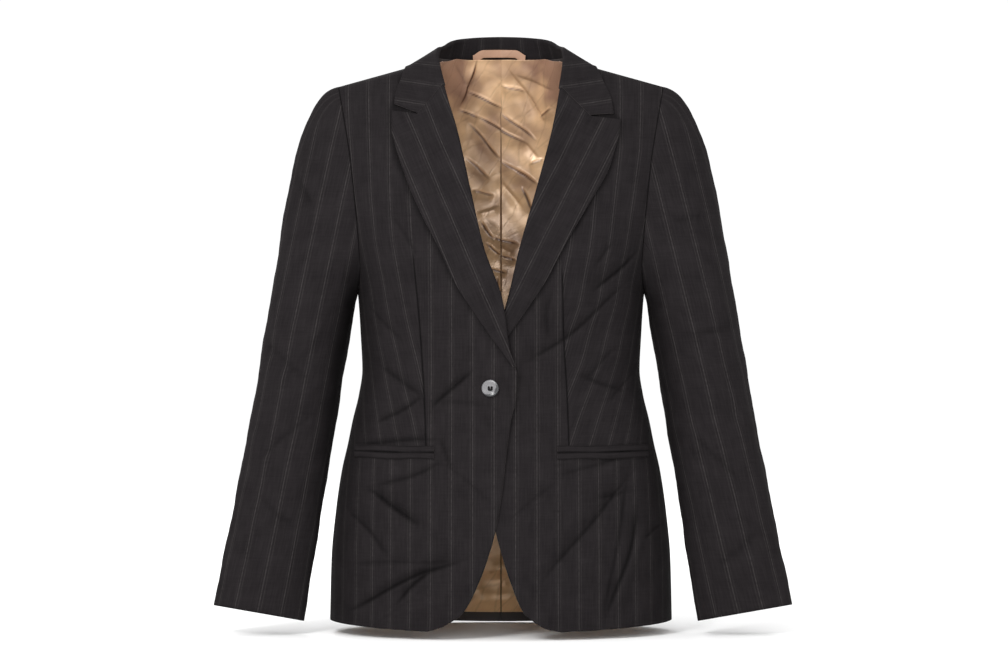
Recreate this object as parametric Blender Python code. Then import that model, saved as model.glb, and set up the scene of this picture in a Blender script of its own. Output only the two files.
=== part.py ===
"""A one-button tailored jacket with peak lapels, hollow, in the shape it keeps on a wearer.

Each cut piece of cloth is one closed wall: two fronts, two back halves with their lining,
two-piece sleeves, collar, lapels, pocket jets, hanger loop and button.  Metres, +Z up, the
front faces -Y, and the origin lies between the shoulders, level with the side of the neck.
"Outward" x is the distance from the centre line towards a piece's own sleeve, so it is
negative where a front reaches past the centre.  The wearer's right side lies at -X.
"""

import math

import bmesh
import bpy
import numpy as np
from mathutils import Vector

# ---------------------------------------------------------------- driving dimensions
WALL = 0.0016            # shell cloth with its interfacing
LINING_WALL = 0.0010     # lining cloth
SEAM = 0.0003            # clearance where two pieces meet
LINING_GAP = 0.0015      # air between the shell and its lining
PAD_GAP = 0.0025         # more of it under the shoulders, where the padding is

NECK_LEVEL = 0.0341      # height at which the two shoulder lines would meet
SHOULDER_SLOPE = 0.277   # fall of the shoulder line, metre per metre
NECK_RISE = 0.045        # the form climbs to the neck by this much
NECK_SPREAD = 0.066      # half width of that climb
NECK_SIDE = 0.078        # outward place of the neck end of the shoulder seam
BACK_NECK = 0.018        # height of the neckline at the centre back
ARM_LEVEL = -0.272       # underarm
SLOPE_FULL = -0.050      # above this height the sections follow the shoulder slope
SLOPE_NONE = -0.240      # below this height they are level
FRONT_HEM = -0.6750
SIDE_HEM = -0.6690
BACK_HEM = -0.6830
HEM_HALF_WIDTH = 0.207

FOLD_RADIUS = 0.0030     # visible radius of the rolled fold of lapel and collar
FOLD_RADIUS_BREAK = 0.0019
FLAT_LIFT = 0.0013       # air under a lapel where it lies flat
COLLAR_LIFT = 0.0020     # air under the collar leaf
STAND_START = 0.0020     # the collar leaves the front's edge by this much before it folds
NOTCH_SHARE = 0.486      # place of the notch across the lapel
BREAK_GAP = 0.0040       # the lapel starts this far above the row at the break
GORGE_GAP = 0.0014       # and ends this far below the collar, measured along the front's edge

BUTTON_RADIUS = 0.0102
BUTTON_THICKNESS = 0.0034
BUTTON_OUTWARD = 0.0124
BUTTON_HEIGHT = -0.3863

JET_HEIGHT = 0.0072
JET_WALL = 0.0012
JET_LIFT = 0.0008        # air between a front and the jets on it
JET_CROWN = 0.0005
POCKET_HEIGHT = -0.4628
LOOP_WIDTH = 0.0040

SIDES = {"right": -1.0, "left": 1.0}


def ease(share):
    """Smooth step from 0 to 1."""
    share = np.clip(share, 0.0, 1.0)
    return share * share * (3.0 - 2.0 * share)


class Table:
    """Rows of named columns, read as smooth curves over the first column."""

    def __init__(self, names, *rows, spacing=lambda value: value):
        self.names = names.split()
        self.columns = dict(zip(self.names, np.array(rows, dtype=float).T))
        self.spacing = spacing

    def at(self, name, position):
        knots = self.spacing(self.columns[self.names[0]])
        values = self.columns[name]
        place = np.clip(self.spacing(np.asarray(position, dtype=float)), knots[0], knots[-1])
        slope = np.diff(values) / np.diff(knots)
        rises = slope[1:] * slope[:-1] > 0.0
        total = np.where(rises, slope[1:] + slope[:-1], 1.0)
        inner = np.where(rises, 2.0 * slope[1:] * slope[:-1] / total, 0.0)
        tangent = np.concatenate([slope[:1], inner, slope[-1:]])
        cell = np.clip(np.searchsorted(knots, place, side="right") - 1, 0, len(knots) - 2)
        width = knots[cell + 1] - knots[cell]
        u = (place - knots[cell]) / width
        return ((2 * u**3 - 3 * u**2 + 1) * values[cell]
                + (u**3 - 2 * u**2 + u) * width * tangent[cell]
                + (3 * u**2 - 2 * u**3) * values[cell + 1]
                + (u**3 - u**2) * width * tangent[cell + 1])


# Sections of the body: how far below the shoulder line, then half width and the two depths.
BODY = Table(
    "fall   half_width front   back    roundness",
    (0.0000, 0.2400, 0.0000, 0.0000, 2.40),
    (0.0100, 0.2360, 0.0270, 0.0280, 2.40),
    (0.0300, 0.2300, 0.0480, 0.0500, 2.40),
    (0.0600, 0.2220, 0.0680, 0.0710, 2.40),
    (0.1050, 0.2120, 0.0900, 0.0920, 2.40),
    (0.1600, 0.2020, 0.1090, 0.1070, 2.35),
    (0.2100, 0.1930, 0.1210, 0.1140, 2.30),
    (0.2500, 0.1860, 0.1260, 0.1150, 2.25),
    (0.2800, 0.1800, 0.1260, 0.1130, 2.20),
    (0.3061, 0.1745, 0.1230, 0.1090, 2.15),
    (0.3600, 0.1708, 0.1150, 0.0970, 2.10),
    (0.4000, 0.1690, 0.1120, 0.0910, 2.10),
    (0.4300, 0.1732, 0.1125, 0.0920, 2.10),
    (0.4600, 0.1805, 0.1145, 0.0980, 2.10),
    (0.4900, 0.1866, 0.1175, 0.1060, 2.10),
    (0.5200, 0.1935, 0.1205, 0.1130, 2.10),
    (0.5700, 0.2010, 0.1250, 0.1200, 2.10),
    (0.6300, 0.2065, 0.1290, 0.1260, 2.10),
    (0.7200, 0.2085, 0.1310, 0.1290, 2.10),
    spacing=np.sqrt,
)

# Outward place of the armhole over the share of the way from underarm to shoulder point.
ARMHOLE = Table(
    "share front   back",
    (0.00, 0.1745, 0.1745),
    (0.05, 0.1705, 0.1715),
    (0.12, 0.1695, 0.1710),
    (0.25, 0.1710, 0.1730),
    (0.45, 0.1755, 0.1775),
    (0.65, 0.1815, 0.1835),
    (0.85, 0.1900, 0.1910),
    (1.00, 0.1970, 0.1970),
)

# Visible edge of each front: cutaway, front edge, then roll line and neckline.
EDGES = {
    "right": Table(
        "height  x",
        (-0.6760, 0.1000), (-0.6735, 0.0850), (-0.6690, 0.0710), (-0.6604, 0.0560),
        (-0.6497, 0.0435), (-0.6154, 0.0260), (-0.5870, 0.0154), (-0.5521, 0.0059),
        (-0.5089, -0.0012), (-0.4545, -0.0075), (-0.4238, -0.0118), (-0.4013, -0.0172),
        (-0.3705, -0.0189), (-0.3400, -0.0105), (-0.2830, -0.0024), (-0.2227, 0.0189),
        (-0.1510, 0.0356), (-0.0788, 0.0513), (-0.0380, 0.0632), (0.0050, 0.0750),
    ),
    "left": Table(
        "height  x",
        (-0.6760, 0.0900), (-0.6735, 0.0660), (-0.6690, 0.0500), (-0.6604, 0.0370),
        (-0.6521, 0.0275), (-0.6225, 0.0142), (-0.5870, 0.0024), (-0.5563, -0.0059),
        (-0.5000, -0.0190), (-0.4400, -0.0270), (-0.4050, -0.0290), (-0.3850, -0.0270),
        (-0.3400, -0.0110), (-0.2830, 0.0072), (-0.2227, 0.0213), (-0.1510, 0.0415),
        (-0.0788, 0.0600), (-0.0430, 0.0670), (0.0050, 0.0750),
    ),
}
BREAK_HEIGHT = {"right": -0.3680, "left": -0.3850}

# Outer edge of each lapel from the break up to the tip of its peak.
LAPELS = {
    "right": Table(
        "height  x",
        (-0.3680, -0.0185), (-0.3362, 0.0040), (-0.3030, 0.0268), (-0.2580, 0.0556),
        (-0.2227, 0.0717), (-0.1846, 0.0916), (-0.1395, 0.1115), (-0.0924, 0.1270),
        (-0.0741, 0.1309), (-0.0545, 0.1307),
    ),
    "left": Table(
        "height  x",
        (-0.3850, -0.0270), (-0.3230, 0.0095), (-0.2984, 0.0267), (-0.2581, 0.0533),
        (-0.2190, 0.0740), (-0.1846, 0.0940), (-0.1576, 0.1101), (-0.1250, 0.1284),
        (-0.1012, 0.1359), (-0.0808, 0.1416), (-0.0653, 0.1434),
    ),
}
NOTCH_DROP = {"right": 0.0200, "left": 0.0150}
COLLAR_POINT = {"right": (0.1271, -0.0473), "left": (0.1340, -0.0590)}

# How far the lapping front stands off the other one near the centre.
LAP_LIFT = Table(
    "height  lift",
    (-0.6760, 0.0000), (-0.5800, 0.0012), (-0.5200, 0.0034), (-0.4300, 0.0052),
    (-0.3700, 0.0074), (-0.2900, 0.0074), (-0.2300, 0.0040), (-0.1300, 0.0000),
)

# The collar from the gorge (0) to the centre back (1): height and inward lean of the fold,
# and the leaf's outer edge seen from above.
COLLAR = Table(
    "share  rise    lean    edge_x  edge_y",
    (0.00, 0.0070, 0.0020, 0.1271, -0.0700),
    (0.20, 0.0085, 0.0030, 0.1225, -0.0440),
    (0.36, 0.0110, 0.0045, 0.1170, -0.0180),
    (0.48, 0.0135, 0.0055, 0.1120, 0.0060),
    (0.60, 0.0215, 0.0060, 0.1020, 0.0380),
    (0.75, 0.0265, 0.0050, 0.0780, 0.0640),
    (0.88, 0.0280, 0.0035, 0.0420, 0.0790),
    (1.00, 0.0286, 0.0030, 0.0000, 0.0830),
)

# Sections of the right sleeve square to its centre line, by the height of their centre.
SLEEVE = Table(
    "height   x       y        half_width half_depth",
    (-0.6590, 0.2925, -0.0360, 0.0556, 0.0290),
    (-0.6159, 0.2850, -0.0320, 0.0548, 0.0310),
    (-0.5793, 0.2785, -0.0270, 0.0540, 0.0340),
    (-0.5060, 0.2664, -0.0150, 0.0527, 0.0400),
    (-0.4330, 0.2536, -0.0040, 0.0516, 0.0460),
    (-0.3598, 0.2422, 0.0000, 0.0513, 0.0520),
    (-0.3232, 0.2361, 0.0000, 0.0513, 0.0550),
    (-0.2866, 0.2295, 0.0000, 0.0513, 0.0580),
)
SLEEVE_EASE = {"right": 1.0, "left": 1.045}
SLEEVE_TOP = -0.2866
SLEEVE_END = -0.6590
HEAD_PULL = np.array([0.168, 0.0, -0.026])    # how the sleeve leaves the shoulder point
UNDER_PULL = np.array([0.006, 0.0, -0.012])   # how it leaves the underarm
SEAM_ANGLE = math.radians(125.0)              # sleeve seams, turned from the outer side

# Pocket mouths: outward start and end.
POCKETS = {"right": (0.0795, 0.1752), "left": (0.0666, 0.1765)}

# The largest folds: a row has both ends (outward, height), half width and depth (+ is a ridge).
FOLD_COLUMNS = ("x0", "z0", "x1", "z1", "width", "depth")
FOLDS = {
    "right": (
        (0.158, -0.500, 0.098, -0.550, 0.012, -0.0040),
        (0.150, -0.522, 0.090, -0.572, 0.011, 0.0030),
        (0.165, -0.555, 0.138, -0.592, 0.010, -0.0030),
        (0.150, -0.430, 0.080, -0.410, 0.010, -0.0022),
        (0.078, -0.400, 0.038, -0.368, 0.009, -0.0025),
        (0.172, -0.655, 0.055, -0.592, 0.013, -0.0030),
        (0.150, -0.668, 0.045, -0.620, 0.011, 0.0026),
    ),
    "left": (
        (0.160, -0.225, 0.045, -0.350, 0.013, -0.0036),
        (0.150, -0.245, 0.055, -0.372, 0.012, 0.0022),
        (0.155, -0.485, 0.048, -0.625, 0.014, -0.0036),
        (0.175, -0.545, 0.150, -0.575, 0.011, -0.0028),
        (0.160, -0.565, 0.130, -0.655, 0.012, 0.0028),
        (0.150, -0.395, 0.090, -0.375, 0.010, -0.0020),
    ),
}

# Mesh density
SKIRT_ROWS = 12          # hem to the level of the break
WAIST_ROWS = 4           # break to underarm
HEM_ROWS = SKIRT_ROWS + WAIST_ROWS
BREAK_SHARE = 0.7816     # place of the break on the way from hem to underarm
CHEST_ROWS = 10
SHOULDER_ROWS = 4
ARM_ROWS = CHEST_ROWS + SHOULDER_ROWS
FRONT_COLUMNS = 17
BACK_NECK_COLUMNS = 6
BACK_COLUMNS = 8
FOLD_STEPS = 4
ACROSS = (0.0, 0.162, 0.324, NOTCH_SHARE, 0.743, 1.0)   # columns over lapel and leaf
NOTCH_COLUMN = 3
STAND_STEPS = 1
CAP_ROWS = 8
TUBE_ROWS = 8
LINING_COLUMN_STEP = 2   # the lining keeps every second column of the back
LINING_SHOULDER_DROP = 0.0180
GORGE_SHARE = 0.83       # place of the gorge on the way from underarm to shoulder line

COLOURS = {
    "wool": ((0.0245, 0.0220, 0.0225), 0.85),
    "satin": ((0.56, 0.37, 0.20), 0.42),
    "button": ((0.10, 0.10, 0.105), 0.22),
}


# ---------------------------------------------------------------- the body's form
def ridge(x):
    """Height of the shoulder line at an outward place."""
    side = np.abs(x)
    climb = NECK_RISE * np.exp(-((side / NECK_SPREAD) ** 6))
    return NECK_LEVEL - SHOULDER_SLOPE * side + climb


def fall(x, z):
    """Distance below the shoulder line; lower down the sections grow level."""
    follow = ease((z - SLOPE_NONE) / (SLOPE_FULL - SLOPE_NONE))
    return np.maximum(NECK_LEVEL - z - follow * (NECK_LEVEL - ridge(x)), 0.0)


def depth(x, z, face):
    """Distance of the front or back surface from the plane of the side seams."""
    below = fall(x, z)
    power = BODY.at("roundness", below)
    share = np.clip(np.abs(x) / BODY.at("half_width", below), 0.0, 1.0)
    return BODY.at(face, below) * (1.0 - share**power) ** (1.0 / power)


def fold_height(side, x, z):
    """Sum of the folds: each is a soft ridge or trough that runs out at its ends."""
    total = np.zeros(np.broadcast(x, z).shape)
    for row in FOLDS[side]:
        fold = dict(zip(FOLD_COLUMNS, row))
        run = np.array([fold["x1"] - fold["x0"], fold["z1"] - fold["z0"]])
        length = np.hypot(*run)
        along = ((x - fold["x0"]) * run[0] + (z - fold["z0"]) * run[1]) / length**2
        across = ((x - fold["x0"]) * run[1] - (z - fold["z0"]) * run[0]) / length
        ends = ease((along + 0.15) / 0.4) * ease((1.15 - along) / 0.4)
        total = total + fold["depth"] * np.exp(-((across / fold["width"]) ** 2)) * ends
    return total


def front_depth(side, x, z):
    """Depth of a finished front: the form, its folds and, on the right, the lap."""
    base = depth(x, z, "front")
    side_fade = ease(base / 0.06)
    lift = fold_height(side, x, z) * side_fade
    if side == "right":
        lift = lift + LAP_LIFT.at("lift", z) * ease((0.075 - x) / 0.065)
    return base + lift


def front_point(side, x, z, lift=0.0):
    """Point of a front's outer face, moved out along the face's normal by lift."""
    step = 0.0005
    y = -front_depth(side, x, z)
    slope_x = -(front_depth(side, x + step, z) - front_depth(side, x - step, z)) / (2 * step)
    slope_z = -(front_depth(side, x, z + step) - front_depth(side, x, z - step)) / (2 * step)
    normal = np.stack([slope_x, -np.ones_like(y), slope_z], axis=-1)
    normal /= np.linalg.norm(normal, axis=-1, keepdims=True)
    point = np.stack([x * np.ones_like(y), y - SEAM / 2, z * np.ones_like(y)], axis=-1)
    return point + normal * np.asarray(lift)[..., None], normal


def fold_radius(side, z):
    """Radius of the rolled fold, smaller towards the break."""
    share = ease((z - BREAK_HEIGHT[side]) / 0.12)
    return FOLD_RADIUS_BREAK + (FOLD_RADIUS - FOLD_RADIUS_BREAK) * share


def front_edge(side, z):
    """Outward place of a front's own cut edge, which a lapel's fold covers above the break."""
    turned = ease((z - BREAK_HEIGHT[side]) / 0.010)
    return EDGES[side].at("x", z) + turned * (fold_radius(side, z) + SEAM)


def back_neck_height(x):
    """Height of the back neckline."""
    drop = BACK_NECK - ridge(NECK_SIDE)
    return BACK_NECK - drop * (np.clip(np.abs(x) / NECK_SIDE, 0.0, 1.0)) ** 2.2


# ---------------------------------------------------------------- grids and walls
def unit(vectors):
    """Vectors of length one."""
    return vectors / np.maximum(np.linalg.norm(vectors, axis=-1, keepdims=True), 1e-12)


def grid_normals(points, outward):
    """Normals of a grid of points, turned to the side of the given vectors."""
    along = np.gradient(points, axis=0)
    across = np.gradient(points, axis=1)
    normal = unit(np.cross(along, across))
    if np.sum(normal * outward) < 0.0:
        normal = -normal
    return normal


def mirrored(side, points):
    """Points in outward coordinates turned into the piece's own side."""
    return points * np.array([SIDES[side], 1.0, 1.0])


def make_object(name, vertices, faces, material):
    """A mesh object with one material, smooth but for its sharp edges."""
    mesh = bpy.data.meshes.new(name)
    mesh.from_pydata([tuple(vertex) for vertex in vertices], [], faces)
    mesh.materials.append(material)
    mesh.shade_smooth()
    mesh.set_sharp_from_angle(angle=math.radians(50.0))
    piece = bpy.data.objects.new(name, mesh)
    bpy.context.scene.collection.objects.link(piece)
    return piece


def wall(name, outer, direction, material, thickness=WALL):
    """A closed sheet: the outer grid, the same grid moved in, and a rim between them.

    Each cell is split along the diagonal that stands further out, alike on both faces.
    """
    inner = outer - direction * thickness
    rows, columns = outer.shape[:2]
    index = np.arange(rows * columns).reshape(rows, columns)
    offset = rows * columns
    a, b = index[:-1, :-1].ravel(), index[:-1, 1:].ravel()
    c, d = index[1:, 1:].ravel(), index[1:, :-1].ravel()
    flat, away = outer.reshape(-1, 3), direction.reshape(-1, 3)
    bulge = flat[a] + flat[c] - flat[b] - flat[d]
    first = np.sum(bulge * (away[a] + away[b] + away[c] + away[d]), axis=1) > 0.0
    halves = [np.where(first[:, None], np.stack(one, 1), np.stack(two, 1))
              for one, two in (((a, b, c), (a, b, d)), ((a, c, d), (b, c, d)))]
    skin = np.concatenate(halves)
    border = np.concatenate([index[0, :-1], index[:-1, -1], index[-1, :0:-1], index[:0:-1, 0]])
    following = np.roll(border, -1)
    rim = np.concatenate([np.stack([following, border, border + offset], 1),
                          np.stack([following, border + offset, following + offset], 1)])
    faces = np.concatenate([skin, skin[:, ::-1] + offset, rim])
    vertices = np.concatenate([flat, inner.reshape(-1, 3)])
    corner = [vertices[faces[:, k]] for k in range(3)]
    if np.sum(np.cross(corner[0], corner[1]) * corner[2]) < 0.0:
        faces = faces[:, ::-1]
    return make_object(name, vertices, faces.tolist(), material)


def row_plan():
    """Shares of the rows: hem to underarm, then underarm to shoulder line."""
    skirt = BREAK_SHARE * np.linspace(0.0, 1.0, SKIRT_ROWS) ** 1.45
    waist = np.linspace(BREAK_SHARE, 1.0, WAIST_ROWS + 1)[1:]
    lower = np.concatenate([skirt, waist])
    chest = GORGE_SHARE * (np.arange(1, CHEST_ROWS + 1) / CHEST_ROWS) ** 1.35
    left_over = 1.0 - np.arange(1, SHOULDER_ROWS + 1) / SHOULDER_ROWS
    shoulder = 1.0 - (1.0 - GORGE_SHARE) * left_over**2
    return lower, np.concatenate([chest, shoulder])


def spread(x_in, x_out, half_width, columns):
    """Places between two edges, closer together where the surface turns to the side."""
    start = np.arcsin(np.clip(x_in / half_width, -1.0, 1.0))
    stop = np.arcsin(np.clip(x_out / half_width, -1.0, 1.0))
    share = np.linspace(0.0, 1.0, columns)
    sine = np.sin(start[:, None] + (stop - start)[:, None] * share)
    scale = (sine - sine[:, :1]) / (sine[:, -1:] - sine[:, :1])
    return x_in[:, None] + (x_out - x_in)[:, None] * scale


def hem_height(x, face):
    """Height of the hem, which climbs a little to the side seams."""
    middle = FRONT_HEM if face == "front" else BACK_HEM
    return middle + (SIDE_HEM - middle) * np.clip(np.abs(x) / HEM_HALF_WIDTH, 0.0, 1.0) ** 2


def row_heights(x, face, hem_rise=0.0, top=ridge):
    """Heights for a grid of outward places, one row after another."""
    lower, upper = row_plan()
    hem = hem_height(x[: len(lower)], face) + hem_rise
    low = hem + (ARM_LEVEL - hem) * lower[:, None]
    high = ARM_LEVEL + (top(x[len(lower):]) - ARM_LEVEL) * upper[:, None]
    return np.concatenate([low, high])


def outer_places(face, z_lower):
    """Outward places of the side seam and then of the armhole."""
    _, upper = row_plan()
    half_lower = BODY.at("half_width", fall(np.zeros_like(z_lower), z_lower))
    arm = ARMHOLE.at(face, upper)
    arm_height = ARM_LEVEL + (ridge(arm) - ARM_LEVEL) * upper
    half_upper = BODY.at("half_width", fall(arm, arm_height))
    return np.concatenate([half_lower, arm]), np.concatenate([half_lower, half_upper])


def settle_directions(points, outward):
    """Wall directions of a body panel: square to the surface and shared along its seams."""
    direction = grid_normals(points, outward)
    direction[:HEM_ROWS, -1, 1] = 0.0
    direction[-1, :, 1] = 0.0
    return unit(direction)


def front_grid(side):
    """Outer face of a front, from its visible edge to the side seam and armhole."""
    lower, _ = row_plan()
    columns = FRONT_COLUMNS
    x_in = np.full(HEM_ROWS + ARM_ROWS, 0.03)
    for _ in range(12):
        z_in = row_heights(x_in[:, None], "front")[:, 0]
        x_in = front_edge(side, z_in)
    x_in[-1] = NECK_SIDE
    side_z = row_heights(np.full((len(x_in), 1), HEM_HALF_WIDTH), "front")[: len(lower), 0]
    x_out, half = outer_places("front", side_z)
    x = spread(x_in, x_out, np.maximum(half, x_out), columns)
    z = row_heights(x, "front")
    half_here = BODY.at("half_width", fall(x[: len(lower)], z[: len(lower)]))
    x[: len(lower), -1] = half_here[:, -1]
    y = -front_depth(side, x, z) - SEAM / 2
    points = np.stack([x, y, z], axis=-1)
    return points, settle_directions(points, np.array([0.0, -1.0, 0.0]))


def back_grid(hem_rise=0.0, centre=SEAM / 2, side_share=1.0, shoulder_drop=0.0):
    """Outer face of a back half, from the centre seam to the side seam and armhole."""
    lower, upper = row_plan()
    side_z = row_heights(np.full((HEM_ROWS + ARM_ROWS, 1), HEM_HALF_WIDTH), "back", hem_rise)
    side_z = side_z[: len(lower), 0]
    x_out, half = outer_places("back", side_z)
    x_out = x_out * side_share
    neck_line = np.full(len(x_out), NECK_SIDE)
    inner = np.linspace(centre, NECK_SIDE, BACK_NECK_COLUMNS + 1)[None, :-1]
    inner = np.repeat(inner, len(x_out), axis=0)
    x = np.concatenate([inner, spread(neck_line, x_out, np.maximum(half, x_out),
                                      BACK_COLUMNS + 1)], axis=1)

    def top(place):
        line = np.where(place < NECK_SIDE, back_neck_height(place), ridge(place))
        return line - shoulder_drop * ease((place - 0.042) / 0.034)

    z = row_heights(x, "back", hem_rise, top)
    if side_share == 1.0:
        half_here = BODY.at("half_width", fall(x[: len(lower)], z[: len(lower)]))
        x[: len(lower), -1] = half_here[:, -1]
    y = depth(x, z, "back") + SEAM / 2
    points = np.stack([x, y, z], axis=-1)
    rearward = np.array([0.0, 1.0, 0.0])
    direction = grid_normals(points, rearward)
    if shoulder_drop == 0.0:
        neck = BACK_NECK_COLUMNS
        neckline = direction[-1, :neck].copy()
        direction = settle_directions(points, rearward)
        direction[-1, :neck] = neckline
    direction[:, 0, 0] = 0.0
    return points, unit(direction)


# ---------------------------------------------------------------- armhole and sleeve
def armhole_ring(front, back):
    """Armhole points in one loop: down the front from the shoulder, then up the back."""
    rows = slice(HEM_ROWS - 1, None)
    down = front[rows, -1][::-1]
    up = back[rows, -1]
    return down, up


def ring_angles(points):
    """Angle of each ring point by its share of the armhole's length, 0 at the shoulder."""
    steps = np.linalg.norm(np.diff(points, axis=0), axis=1)
    length = np.concatenate([[0.0], np.cumsum(steps)])
    return length / length[-1]


def sleeve_section(side, height, angles):
    """Points of one sleeve section square to the centre line; 0 is the outer side."""
    step = 0.002
    centre = np.array([SLEEVE.at("x", height), SLEEVE.at("y", height), height])
    above = np.clip(height + step, SLEEVE_END, SLEEVE_TOP)
    below = np.clip(height - step, SLEEVE_END, SLEEVE_TOP)
    run = np.array([SLEEVE.at("x", below) - SLEEVE.at("x", above),
                    SLEEVE.at("y", below) - SLEEVE.at("y", above), below - above])
    run = unit(run)
    across = unit(np.array([1.0, 0.0, 0.0]) - run * run[0])
    forward = np.cross(across, run)
    forward *= -np.sign(forward[1])
    width = SLEEVE.at("half_width", height) * SLEEVE_EASE[side]
    deep = SLEEVE.at("half_depth", height)
    shift = (SLEEVE_EASE[side] - 1.0) * SLEEVE.at("half_width", height)
    centre = centre + across * shift
    ring = (centre + np.cos(angles)[:, None] * across * width
            + np.sin(angles)[:, None] * forward * deep)
    return ring, run


def sleeve_grid(side, ring, angles):
    """Rings from the armhole over the sleeve head to the hem."""
    target, run = sleeve_section(side, SLEEVE_TOP, angles)
    topness = ((1.0 + np.cos(angles)) / 2.0)[:, None]
    leave = HEAD_PULL * topness**1.3 + UNDER_PULL * (1.0 - topness**1.3)
    reach = np.linalg.norm(target - ring, axis=1, keepdims=True)
    arrive = run * reach * 0.92
    rings = []
    for t in (np.arange(CAP_ROWS) / CAP_ROWS) ** 1.25:
        rings.append((2 * t**3 - 3 * t**2 + 1) * ring + (t**3 - 2 * t**2 + t) * leave
                     + (3 * t**2 - 2 * t**3) * target + (t**3 - t**2) * arrive)
    for height in np.linspace(SLEEVE_TOP, SLEEVE_END, TUBE_ROWS):
        rings.append(sleeve_section(side, height, angles)[0])
    return np.array(rings)


def build_sleeve(side, front, back, front_dir, back_dir, material):
    """Top sleeve and under sleeve, and the wall directions shared with the armhole."""
    down, up = armhole_ring(front, back)
    share_down, share_up = ring_angles(down), ring_angles(up)
    loop = np.concatenate([down, up[1:]])
    rows = slice(HEM_ROWS - 1, None)
    inland = np.concatenate([front[rows, -2][::-1], back[rows, -2][1:]])
    inland[len(down) - 1] = front[HEM_ROWS - 2, -1]
    angles = np.concatenate([share_down * math.pi, math.pi + share_up[1:] * math.pi])
    body_down, body_up = armhole_ring(front_dir, back_dir)
    body_normals = np.concatenate([body_down, body_up[1:]])
    rings = sleeve_grid(side, loop, angles)
    centre = rings.mean(axis=1, keepdims=True)
    normals = grid_normals(rings, unit(rings - centre))
    under = ((1.0 - np.cos(angles)) / 2.0)[:, None]
    shared = unit(body_normals + 0.5 * normals[1] + under**3 * np.array([0.0, 0.0, -0.8]))
    shared[0] = shared[-1] = unit(shared[0] * np.array([1.0, 0.0, 1.0]))
    tangent = unit(np.gradient(loop, axis=0))
    away = unit(np.cross(tangent, shared))
    away *= np.sign(np.sum(away * (loop - inland), axis=1, keepdims=True))
    rings[0] = loop + away * SEAM
    normals[0] = shared
    front_split = int(np.argmin(np.abs(angles - SEAM_ANGLE)))
    back_split = int(np.argmin(np.abs(angles - (2 * math.pi - SEAM_ANGLE))))
    gap = np.gradient(rings, axis=1)
    gap = unit(gap) * SEAM / 2
    top_order = list(range(back_split, len(angles))) + list(range(1, front_split + 1))
    top = rings[:, top_order].copy()
    top[:, 0] += gap[:, back_split]
    top[:, -1] -= gap[:, front_split]
    under_part = rings[:, front_split: back_split + 1].copy()
    under_part[:, 0] += gap[:, front_split]
    under_part[:, -1] -= gap[:, back_split]
    wall(f"{side}_top_sleeve", mirrored(side, top), mirrored(side, normals[:, top_order]),
         material)
    wall(f"{side}_under_sleeve", mirrored(side, under_part),
         mirrored(side, normals[:, front_split: back_split + 1]), material)
    count = len(down)
    front_dir[HEM_ROWS - 1:, -1] = shared[:count][::-1]
    back_dir[HEM_ROWS - 1:, -1] = shared[count - 1:]


# ---------------------------------------------------------------- lapel and collar
def lapel_grid(side, front, front_dir):
    """Visible face of a lapel: its rolled fold and then the part that lies on the front.

    The fold starts at the front's own edge points, and each row crosses to the outer edge.
    """
    rows = slice(SKIRT_ROWS - 1, HEM_ROWS + CHEST_ROWS)
    root, normal = front[rows, 0].copy(), front_dir[rows, 0]
    root[0] += unit(root[1] - root[0]) * BREAK_GAP
    root[-1] += unit(root[-2] - root[-1]) * GORGE_GAP
    roll_z = root[:, 2]
    share = (roll_z - roll_z[0]) / (roll_z[-1] - roll_z[0])
    heights = LAPELS[side].columns["height"]
    start_z = roll_z[0] + 0.004
    edge_z = start_z + (heights[-1] - start_z) * share
    edge_x = LAPELS[side].at("x", edge_z)
    radius = fold_radius(side, roll_z)
    root_x = root[:, 0] - SEAM
    edge_x = np.maximum(edge_x, root_x + 0.004)
    across = np.array(ACROSS)
    dip = NOTCH_DROP[side] * np.minimum(across / NOTCH_SHARE, (1 - across) / (1 - NOTCH_SHARE))
    x = root_x[:, None] + (edge_x - root_x)[:, None] * across
    z = roll_z[:, None] + (edge_z - roll_z)[:, None] * across
    z = z - dip * ease((share - 0.55) / 0.45)[:, None]
    crown = 2.0 * radius - WALL
    flat = WALL + FLAT_LIFT
    lift = flat + (crown[:, None] - flat) * (1.0 - ease(across / 0.55))
    face, _ = front_point(side, x, z, lift)
    away = unit(np.cross(unit(np.gradient(root, axis=0)), normal))
    away *= np.sign(np.sum(away * (face[:, 1] - face[:, 0]), axis=1, keepdims=True))
    centre = root - away * SEAM + normal * (radius - WALL)[:, None]
    face[:, 0] = centre + normal * radius[:, None]
    turn = np.linspace(math.pi, 0.0, FOLD_STEPS + 1)[:-1]
    arc = (centre[:, None] + (np.cos(turn)[None, :, None] * normal[:, None]
                              - np.sin(turn)[None, :, None] * away[:, None])
           * radius[:, None, None])
    points = np.concatenate([arc, face], axis=1)
    outward = np.concatenate([arc - centre[:, None],
                              np.repeat(normal[:, None], face.shape[1], axis=1)], axis=1)
    normals = grid_normals(points, outward)
    normals[:, 0] = -normal
    return points, normals


def height_over(x, y):
    """Height of the body's form above a place seen from above."""
    face_depth = np.abs(y)
    low = np.full_like(face_depth, -0.30)
    high = ridge(x)
    for _ in range(40):
        middle = (low + high) / 2
        here = np.where(y < 0.0, depth(x, middle, "front"), depth(x, middle, "back"))
        low = np.where(here > face_depth, middle, low)
        high = np.where(here > face_depth, high, middle)
    return (low + high) / 2


def over_body(points, lift):
    """Points raised until they clear the body's form by the lift."""
    x, y, z = points[..., 0], points[..., 1], points[..., 2]
    step = 0.002
    height = height_over(x, y)
    slope_x = (height_over(x + step, y) - height_over(x - step, y)) / (2 * step)
    slope_y = (height_over(x, y + step) - height_over(x, y - step)) / (2 * step)
    clear = height + lift * np.sqrt(1.0 + slope_x**2 + slope_y**2)
    return np.stack([x, y, np.maximum(z, clear)], axis=-1)


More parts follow.
